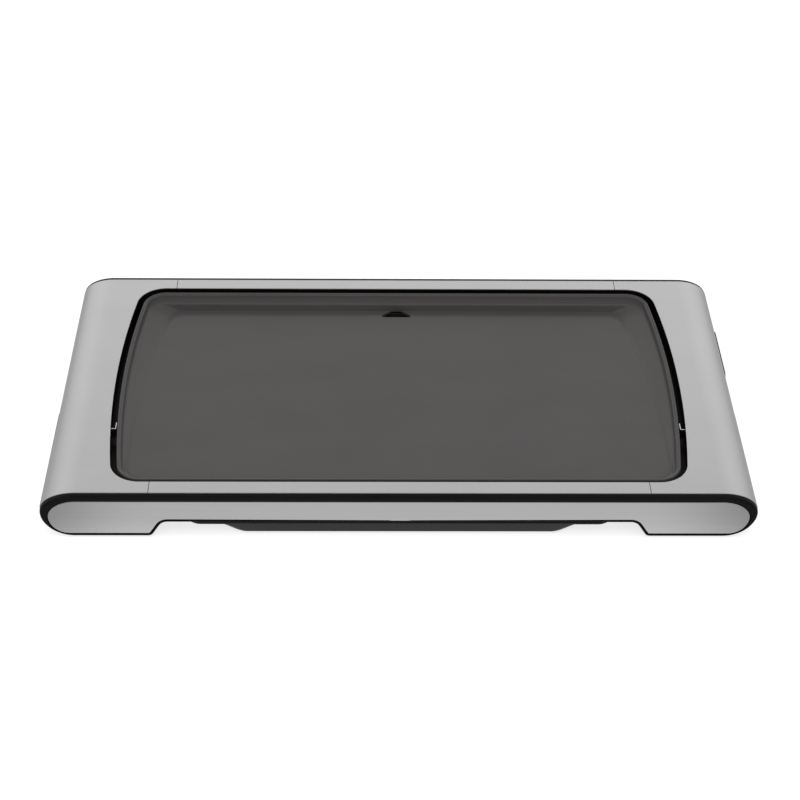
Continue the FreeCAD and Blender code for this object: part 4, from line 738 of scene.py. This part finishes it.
def arc_points(start, end, radius, count):
    """Points from start on towards end: straight without a radius, else on a bulge to the right of the way."""
    chord = end - start
    if not radius:
        return [start + chord * (number / count) for number in range(count)]
    half = chord.length / 2
    inward = Vector((-chord.y, chord.x)).normalized()
    centre = (start + end) / 2 + inward * sqrt(max(radius * radius - half * half, 0.0))
    sweep = 2 * asin(min(half / radius, 1.0))
    return [centre + Matrix.Rotation(sweep * number / count, 2) @ (start - centre) for number in range(count)]


def mirrored_ring(right, radii):
    """A closed outline from the four corners of its right half, front to rear, and the radii between them."""
    chain = [Vector(corner) for corner in right] + [Vector((-across, along)) for across, along in reversed(right)]
    radii = radii + (0,) + radii[::-1] + (0,)
    counts = RING_STEPS + RING_STEPS[2::-1] + RING_STEPS[3:]
    ring = []
    for start, end, radius, count in zip(chain, chain[1:] + chain[:1], radii, counts):
        ring += arc_points(start, end, radius, count)
    return ring


def bowed_ring(half, bow, corner, front, rear):
    """The plate's shape: straight front and rear, bowed short sides and round corners."""
    centre = half - bow
    reach = bow - corner
    right = []
    for end, level in ((front, front + corner), (rear, rear - corner)):
        middle = centre + sqrt(reach * reach - level * level)
        pair = [(middle, end), (centre + (middle - centre) * bow / reach, level * bow / reach)]
        right += pair if end == front else pair[::-1]
    return mirrored_ring(right, (corner, bow, corner))


def crease_ring(front_half, rear_half, bow, front_corner, rear_corner, front, rear):
    """The cooking surface's shape: narrower at the rear, with bowed short sides."""
    inward, depth = front_half - rear_half, rear - front
    lean = atan(inward / depth)
    turn = atan(hypot(inward, depth) / 2 / bow)
    rear_lean, front_lean = lean + turn, lean - turn
    rear_round = rear_corner / tan((pi / 2 - rear_lean) / 2)
    right = [
        (front_half - front_corner, front),
        (front_half - front_corner * sin(front_lean), front + front_corner * cos(front_lean)),
        (rear_half + rear_corner * sin(rear_lean), rear - rear_corner * cos(rear_lean)),
        (rear_half - rear_corner, rear),
    ]
    return mirrored_ring(right, (front_corner, bow, rear_round))


def box_ring(half, corner, front, rear):
    """A rectangle with round corners."""
    right = [(half - corner, front), (half, front + corner), (half, rear - corner), (half - corner, rear)]
    return mirrored_ring(right, (corner, 0, corner))


def loft_rings(mesh, stations):
    """Skins closed outlines, each at a height or with its height for a depth, and closes both ends."""
    skin(mesh, [
        [mesh.verts.new((across, along, height(along) if callable(height) else height)) for across, along in ring]
        for ring, height in stations
    ])


def quarter_turn(count):
    """Sine and cosine of even steps from nought to a quarter turn."""
    return [(sin(turn), cos(turn)) for turn in (pi / 2 * step / count for step in range(count + 1))]


def cast_plate(forms):
    """Cast plate: stepped rim, ledge, moat, a surface that falls to the rear, and the drain."""
    low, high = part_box("cooking_plate")
    top = high[2]

    def outline(inset, corner=None, rear=None):
        return bowed_ring(high[0] - inset, forms.plate_bow - inset, corner or forms.plate_corner - inset,
                          inset - high[1], rear or high[1] - inset)

    def inner_edge(inset, height, edge):
        return [(outline(inset - edge * (1 - run)), height - edge * (1 - fall))
                for run, fall in quarter_turn(ROUND_STEPS)]

    step = top - forms.rim_step
    ledge = top - forms.rim_wall
    skirt = top - forms.skirt_height
    shelf = forms.rim_width + forms.rim_shelf
    foot = shelf + forms.rim_run
    inset = foot + forms.ledge_side
    channel_rear = high[1] - foot - forms.ledge_rear
    channel_front = channel_rear - forms.channel_width
    surface_front = inset + forms.ledge_ramp - high[1]
    moat_rear = channel_rear - forms.channel_slope

    def falling(front_drop, rear_drop, rear):
        fall = (rear_drop - front_drop) / (rear - surface_front)
        return lambda along: ledge - front_drop - fall * (along - surface_front)

    seat = outline(forms.seat_inset, forms.seat_corner)
    edge = forms.edge_round
    stations = [
        (outline(forms.seat_inset + SET_BACK, forms.seat_corner), low[2]),
        (seat, low[2]),
        (seat, skirt),
        (outline(edge), skirt),
        (outline(0.0), skirt + edge),
    ]
    stations += [(outline(edge * (1 - along)), top - edge * (1 - rise)) for rise, along in quarter_turn(ROUND_STEPS)]
    stations += inner_edge(forms.rim_width, top, edge)
    edge = forms.step_round
    stations += [(outline(forms.rim_width), step + edge), (outline(forms.rim_width + edge), step)]
    stations += inner_edge(shelf, step, edge)
    stations += [
        (outline(foot - edge * FOOT_RUN), ledge + edge * FOOT_RISE),
        (outline(foot + edge * FOOT_RUN), ledge),
        (outline(inset - edge, rear=channel_rear + edge), ledge),
        (outline(inset, rear=channel_rear), ledge - edge * BREAK_FALL),
    ]
    corner = forms.plate_corner - inset
    moat = falling(forms.moat_front, forms.moat_rear, moat_rear)
    stations.append((crease_ring(
        high[0] - forms.crease_front + forms.bank_front, high[0] - forms.moat_side, forms.crease_bow, corner,
        forms.channel_width, surface_front, moat_rear), moat))
    for share in BANK_SHARES:
        rear = channel_front + forms.bank_rear * share
        side, front = forms.bank_side * share, forms.bank_front * share
        ring = crease_ring(
            high[0] - forms.crease_front + front / 2, high[0] - forms.crease_rear + side, forms.crease_bow, corner,
            forms.channel_width + side / 2, surface_front + forms.bank_front - front / 2, rear)
        if share > 0.5:
            height = moat
        elif share > 0:
            height = falling((forms.moat_front + forms.floor_front) / 2, forms.floor_rear + forms.bank_brow, rear)
        else:
            height = falling(forms.floor_front, forms.floor_rear, channel_front)
        stations.append((ring, height))
    mesh = bmesh.new()
    loft_rings(mesh, stations)
    drain_front = channel_front - forms.drain_lap
    half, reach = forms.drain_width / 2, forms.drain_reach
    start, end = Vector((half, drain_front)), Vector((-half, drain_front))
    ring = arc_points(start, end, (half * half + reach * reach) / (2 * reach), ARCH_STEPS) + [end]
    drill = bmesh.new()
    loft_rings(drill, [(ring, low[2] - SET_BACK), (ring, top + SET_BACK)])
    return cut_away(mesh, drill)


def pressed_tray(forms):
    """Pressed tray: turned-down rim, and a basin whose ends slope in to a level floor."""
    low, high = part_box("drip_tray")
    top, sheet, half = high[2], forms.tray_sheet, forms.tray_half
    under = top - sheet
    drop = under - forms.basin_floor

    def rim(inset):
        return box_ring(half - inset, forms.tray_corner - inset, low[1] + inset, high[1] - inset)

    def basin(share, grow, inset):
        side = half - forms.basin_side - forms.basin_slope * share + grow - inset
        front = low[1] + forms.basin_front + forms.basin_draft * share + inset
        rear = high[1] - forms.basin_rear - forms.basin_back * share + grow - inset
        return box_ring(side, forms.tray_corner - inset, front, rear)

    def wall(inset, height):
        fold = forms.basin_round
        bend = fold / drop
        foot = [(1 - slope * bend, -grow, 1 - fall * bend) for slope, grow, fall in FOLD]
        brow = [(slope * bend, grow, fall * bend) for slope, grow, fall in reversed(FOLD)]
        return [(basin(slope, grow * fold, inset), height - drop * fall)
                for slope, grow, fall in [(1.0, -FOLD_FLAT, 1.0), *foot, *brow]]

    edge = sheet * 0.3
    mesh = bmesh.new()
    loft_rings(mesh, wall(0.0, under) + [
        (rim(sheet), under),
        (rim(sheet), top - forms.tray_lip),
        (rim(0.0), top - forms.tray_lip),
        (rim(0.0), top - edge * 2),
        (rim(edge * 0.6), top - edge * 0.6),
        (rim(edge * 2), top),
    ] + wall(sheet, top)[::-1])
    return mesh


def end_path(forms, wide, draw, top):
    """The griddle seen from the front, from the right foot over the top to the left foot."""
    widest = CAD_BOX[1][2] - forms.end_drop
    upper, lower = forms.upper_curve - draw, forms.lower_curve
    wide -= draw
    quarter = quarter_turn(END_STEPS)
    right = [(wide - lower * (1 - across), widest - (widest - forms.foot_height) * down)
             for down, across in reversed(quarter)]
    right += [(wide - upper * (1 - across), widest + (top - widest) * rise) for rise, across in quarter[1:]]
    flat = right[-1][0]
    right += [(flat * (1 - step / TOP_STEPS), top) for step in range(1, TOP_STEPS)]
    return right + [(0.0, top)] + [(-across, height) for across, height in reversed(right)]


def lip_band(forms, side, wide):
    """The shoulder along one lip: a level band behind a brow that drops to the rim."""
    top = CAD_BOX[1][2]
    brow = forms.lip_root + forms.lip_shoulder
    height = top - forms.lip_step
    low, bend, draw = height - forms.shoulder_drop, forms.shoulder_round, forms.shoulder_draw
    sections = [(forms.lip_root, forms.band_depth, height - forms.band_depth), (forms.lip_root, 0.0, height)]
    sections += [(brow + bend * along, draw + bend * down, low - bend * down) for along, down in BROW]
    sections.append((forms.lip_face, forms.lip_draw, top - forms.lip_drop))
    mesh = bmesh.new()
    rows = [[mesh.verts.new((across, side * depth, up)) for across, up in end_path(forms, wide, inset, level)]
            for depth, inset, level in sections]
    skin(mesh, rows + rows[:1], closed=False, capped=False)
    for end in (0, -1):
        mesh.faces.new([row[end] for row in rows])
    return mesh


# ---- operators


class DressCovers(Operator):
    """Brushed steel for the two end covers and the two strips beside the plate"""

    bl_idname = "griddle.dress_covers"
    bl_label = "Steel covers"

    def execute(self, context):
        steel = brushed_steel("cover_steel", across_z=False)
        covers = ("left_side_cover", "right_side_cover", "front_top_strip", "rear_top_strip")
        dress(steel, *covers)
        soften(context.scene.griddle_forms.sheet_round, *covers)
        return {"FINISHED"}


class DressFascias(Operator):
    """Brushed steel for the front and rear fascias"""

    bl_idname = "griddle.dress_fascias"
    bl_label = "Fascias"

    def execute(self, context):
        fascias = ("front_fascia", "rear_fascia")
        dress(brushed_steel("fascia_steel", across_z=True), *fascias)
        soften(context.scene.griddle_forms.sheet_round, *fascias)
        return {"FINISHED"}


class DressHousing(Operator):
    """Black moulding for the housing, its lips, its leg covers and the inlet's shroud"""

    bl_idname = "griddle.dress_housing"
    bl_label = "Housing"

    def execute(self, context):
        scene = context.scene
        housing = black_moulding("housing_black", 0.34)
        dress(housing, "housing_frame")
        half_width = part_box("housing_frame")[1][0]
        for name, side in (("front_shoulder", -1), ("rear_shoulder", 1)):
            band = lip_band(scene.griddle_forms, side, half_width)
            new_piece(name, band, "griddle", "black_housing", housing)
        dress(black_moulding("cover_black", 0.5), "left_leg_cover", "right_leg_cover", "inlet_shroud")
        return {"FINISHED"}


class MakePlate(Operator):
    """Cast plate with its step, moat and drain, in a satin non-stick coating"""

    bl_idname = "griddle.make_plate"
    bl_label = "Cooking plate"

    def execute(self, context):
        coating = sprayed_coating("plate_coating", context.scene.griddle_colours.coating, 0.38, 0.00003, 0.2)
        plate = cast_plate(context.scene.griddle_forms)
        new_piece("cast_plate", plate, "plate", "plate_coating", coating, "cooking_plate")
        return {"FINISHED"}


class MakeTray(Operator):
    """Pressed drip tray in a dark coating"""

    bl_idname = "griddle.make_tray"
    bl_label = "Drip tray"

    def execute(self, context):
        coating = sprayed_coating("tray_coating", context.scene.griddle_colours.tray, 0.34, 0.00002, 0.3)
        tray = pressed_tray(context.scene.griddle_forms)
        new_piece("pressed_tray", tray, "tray", "tray_metal", coating, "drip_tray")
        return {"FINISHED"}


class DressHeating(Operator):
    """Sheath, reflector, brackets and drain chute"""

    bl_idname = "griddle.dress_heating"
    bl_label = "Heating"

    def execute(self, context):
        colours = context.scene.griddle_colours
        dress(heat_tinted_sheath("element_sheath"), "heating_element")
        dress(spangled_sheet("reflector_sheet", colours.reflector, 0.28), "reflector_pan")
        brackets = ["element_bracket_" + place for place in ("left", "middle", "right")]
        dress(rolled_sheet("bracket_steel", colours.folded, 0.38), *brackets)
        dress(sprayed_coating("chute_enamel", colours.enamel, 0.35, 0.00002), "drain_chute")
        return {"FINISHED"}


class DressInlet(Operator):
    """Terminal block, contact pins and sensor guide"""

    bl_idname = "griddle.dress_inlet"
    bl_label = "Inlet"

    def execute(self, context):
        colours = context.scene.griddle_colours
        dress(fired_ceramic("block_ceramic", colours.ceramic), "terminal_block")
        nickel = plated_metal("nickel_plating", colours.nickel, 0.2)
        dress(nickel, "front_contact_pin", "rear_contact_pin", "sensor_guide")
        return {"FINISHED"}


class DressUnderside(Operator):
    """Enamelled base plate and the folded runners of the tray"""

    bl_idname = "griddle.dress_underside"
    bl_label = "Underside"

    def execute(self, context):
        colours = context.scene.griddle_colours
        dress(sprayed_coating("base_enamel", colours.enamel, 0.38, 0.00003), "base_plate")
        dress(rolled_sheet("runner_steel", colours.folded, 0.34), "left_tray_runner", "right_tray_runner")
        return {"FINISHED"}


class MakeFasteners(Operator):
    """Cross-head screws under the base plate and the leg covers, and the runners' rivets"""

    bl_idname = "griddle.make_fasteners"
    bl_label = "Fasteners"

    def execute(self, context):
        scene = context.scene
        zinc = plated_metal("zinc_plating", scene.griddle_colours.zinc, 0.3)
        screw_set("base_screw_set", "base_screws", scene.griddle_sizes, zinc)
        screw_set("leg_screw_set", "leg_screws", scene.griddle_sizes, zinc)
        rivet_set(zinc)
        return {"FINISHED"}


class MakeFeet(Operator):
    """Rubber feet with ringed soles, and the silicone pads under the plate"""

    bl_idname = "griddle.make_feet"
    bl_label = "Feet and pads"

    def execute(self, context):
        colours = context.scene.griddle_colours
        rubber = soft_rubber("foot_rubber", colours.rubber, 0.72)
        for place in ("front_left", "front_right", "rear_left", "rear_right"):
            ringed_foot(place + "_foot", context.scene.griddle_sizes.foot_groove, rubber)
        dress(soft_rubber("pad_silicone", colours.silicone, 0.6), "support_pads")
        return {"FINISHED"}


class DressGrips(Operator):
    """Soft black grips and bright plate clips"""

    bl_idname = "griddle.dress_grips"
    bl_label = "Grips and clips"

    def execute(self, context):
        colours = context.scene.griddle_colours
        dress(soft_rubber("grip_rubber", toned(colours.rubber, 0.7), 0.55), "left_grip", "right_grip")
        dress(rolled_sheet("clip_steel", colours.spring, 0.25), "left_plate_clip", "right_plate_clip")
        return {"FINISHED"}


def light_tent(scene):
    """Studio light: a bright wall behind, darker towards the sides and the cook, and dark straight above."""
    world = bpy.data.worlds.new("studio")
    world.use_nodes = True
    scene.world = world
    sky = Finish("studio", world.node_tree)
    direction = sky.node("ShaderNodeTexCoord").outputs["Generated"]
    side, back, up = sky.axes(direction)
    ramp = sky.node("ShaderNodeValToRGB", {"stops": SKY_STOPS}, {0: up})
    level = Value(sky, sky.node("ShaderNodeRGBToBW", inputs={0: ramp.outputs[0]}).outputs[0])
    behind = back.above(*BACK_WALL) * (1.0 - FRONT_SHARE) + FRONT_SHARE
    narrow = 1.0 - (side * side).above(*SIDE_FALL) * SIDE_DARK
    strength = level * behind * narrow * (SKY_LEVEL * scene.griddle_studio.sky)
    glow = sky.node("ShaderNodeBackground", inputs={"Color": (1.0, 1.0, 1.0, 1.0), "Strength": strength})
    sky.node("ShaderNodeOutputWorld", inputs={"Surface": glow.outputs[0]})


def overhead_softbox(scene):
    """A wide light over the griddle that doesn't show in reflections."""
    light = bpy.data.lights.new("overhead", "AREA")
    light.shape = "RECTANGLE"
    light.size, light.size_y = OVERHEAD_SIZE
    light.energy = scene.griddle_studio.overhead
    lamp = linked("overhead", light)
    lamp.location = OVERHEAD_PLACE
    lamp.rotation_euler = (-Vector(OVERHEAD_PLACE)).to_track_quat("-Z", "Y").to_euler()
    lamp.visible_glossy = False


def level_sheet(name, height, material):
    """A wide level sheet under the griddle."""
    mesh = bmesh.new()
    spots = ((-1, -1), (1, -1), (1, 1), (-1, 1))
    mesh.faces.new([mesh.verts.new((side * FLOOR_HALF, end * FLOOR_HALF, height)) for side, end in spots])
    sheet = linked(name, mesh)
    sheet.data.materials.append(material)
    return sheet


def pale_floor(scene):
    """A lit white floor, over a glowing sheet that only reflections see, bright in front of the griddle's middle and
    painted darker to the sides and further in front.
    """
    finish = Finish("floor")
    tone = finish.noise((0.4, 0.4, 0.4), 3.0)
    base = finish.shade(tone, scene.griddle_colours.floor, 0.985, 1.01)
    floor = level_sheet("floor", 0.0, finish.surface(
        base, 0.75 + tone * 0.1, finish.noise((0.002,) * 3), 0.00002, False, Emission_Color=(1.0, 1.0, 1.0, 1.0),
        Emission_Strength=scene.griddle_studio.floor_glow, Specular_IOR_Level=0.0,
    ))
    floor.visible_glossy = False
    glow = Finish("floor_reflection")
    side, back, _ = glow.axes(glow.place)
    # Painted shade: the sheet darkens further in front and to the sides, standing in for the floor's shadow and
    # falloff.
    far = (back * -1.0).above(*FLOOR_FRONT) * FRONT_DARK
    fall = (side * side).above(*FLOOR_FALL) * FLOOR_DARK + far
    shade = glow.blend(fall, (1.0, 1.0, 1.0), (0.0, 0.0, 0.0))
    lit = glow.node("ShaderNodeEmission", inputs={"Color": shade, "Strength": scene.griddle_studio.floor_shine})
    glow.node("ShaderNodeOutputMaterial", inputs={"Surface": lit.outputs[0]})
    mirror = level_sheet("floor_reflection", -MIRROR_DROP, glow.material)
    for ray in ("camera", "diffuse", "transmission", "volume_scatter", "shadow"):
        setattr(mirror, "visible_" + ray, False)


def set_camera(scene):
    """The camera, aimed at a point on the table."""
    studio = scene.griddle_studio
    down, turn = studio.pitch, studio.turn
    forward = Vector((sin(turn) * cos(down), cos(turn) * cos(down), -sin(down)))
    right = forward.cross(Vector((0, 0, 1))).normalized()
    up = right.cross(forward)
    stand = Matrix((right, up, -forward)).transposed() @ Matrix.Rotation(studio.roll, 3, "Z")
    data = bpy.data.cameras.new("camera")
    data.lens = studio.lens
    scene.camera = linked("camera", data)
    scene.camera.matrix_world = Matrix.Translation(Vector(studio.aim) - forward * studio.distance) @ stand.to_4x4()


class SetStage(Operator):
    """Pale floor, soft studio light and the camera"""

    bl_idname = "griddle.set_stage"
    bl_label = "Stage"

    def execute(self, context):
        scene = context.scene
        scene.view_settings.view_transform = "Standard"
        light_tent(scene)
        overhead_softbox(scene)
        pale_floor(scene)
        set_camera(scene)
        return {"FINISHED"}


STEPS = (
    SetStage,
    DressCovers,
    DressFascias,
    DressHousing,
    MakePlate,
    MakeTray,
    DressHeating,
    DressInlet,
    DressUnderside,
    MakeFasteners,
    MakeFeet,
    DressGrips,
)


GROUPS = {
    "griddle_sizes": GriddleSizes,
    "griddle_forms": GriddleForms,
    "griddle_colours": GriddleColours,
    "griddle_studio": GriddleStudio,
}


class GriddlePanel(Panel):
    """Lists the steps that finish the griddle."""

    bl_idname = "VIEW3D_PT_griddle"
    bl_label = "Electric griddle"
    bl_space_type = "VIEW_3D"
    bl_region_type = "UI"
    bl_category = "Griddle"

    def draw(self, context):
        for step in STEPS:
            self.layout.operator(step.bl_idname)
        for group in (getattr(context.scene, name) for name in GROUPS):
            box = self.layout.box()
            for name in group.__annotations__:
                box.prop(group, name)


def register():
    for name, group in GROUPS.items():
        bpy.utils.register_class(group)
        setattr(Scene, name, PointerProperty(type=group))
    for thing in (*STEPS, GriddlePanel):
        bpy.utils.register_class(thing)


def unregister():
    for thing in (GriddlePanel, *reversed(STEPS)):
        bpy.utils.unregister_class(thing)
    for name, group in GROUPS.items():
        delattr(Scene, name)
        bpy.utils.unregister_class(group)


def main():
    """Registers the add-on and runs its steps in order."""
    register()
    for step in STEPS:
        family, name = step.bl_idname.split(".")
        getattr(getattr(bpy.ops, family), name)()


if __name__ == "__main__":
    main()
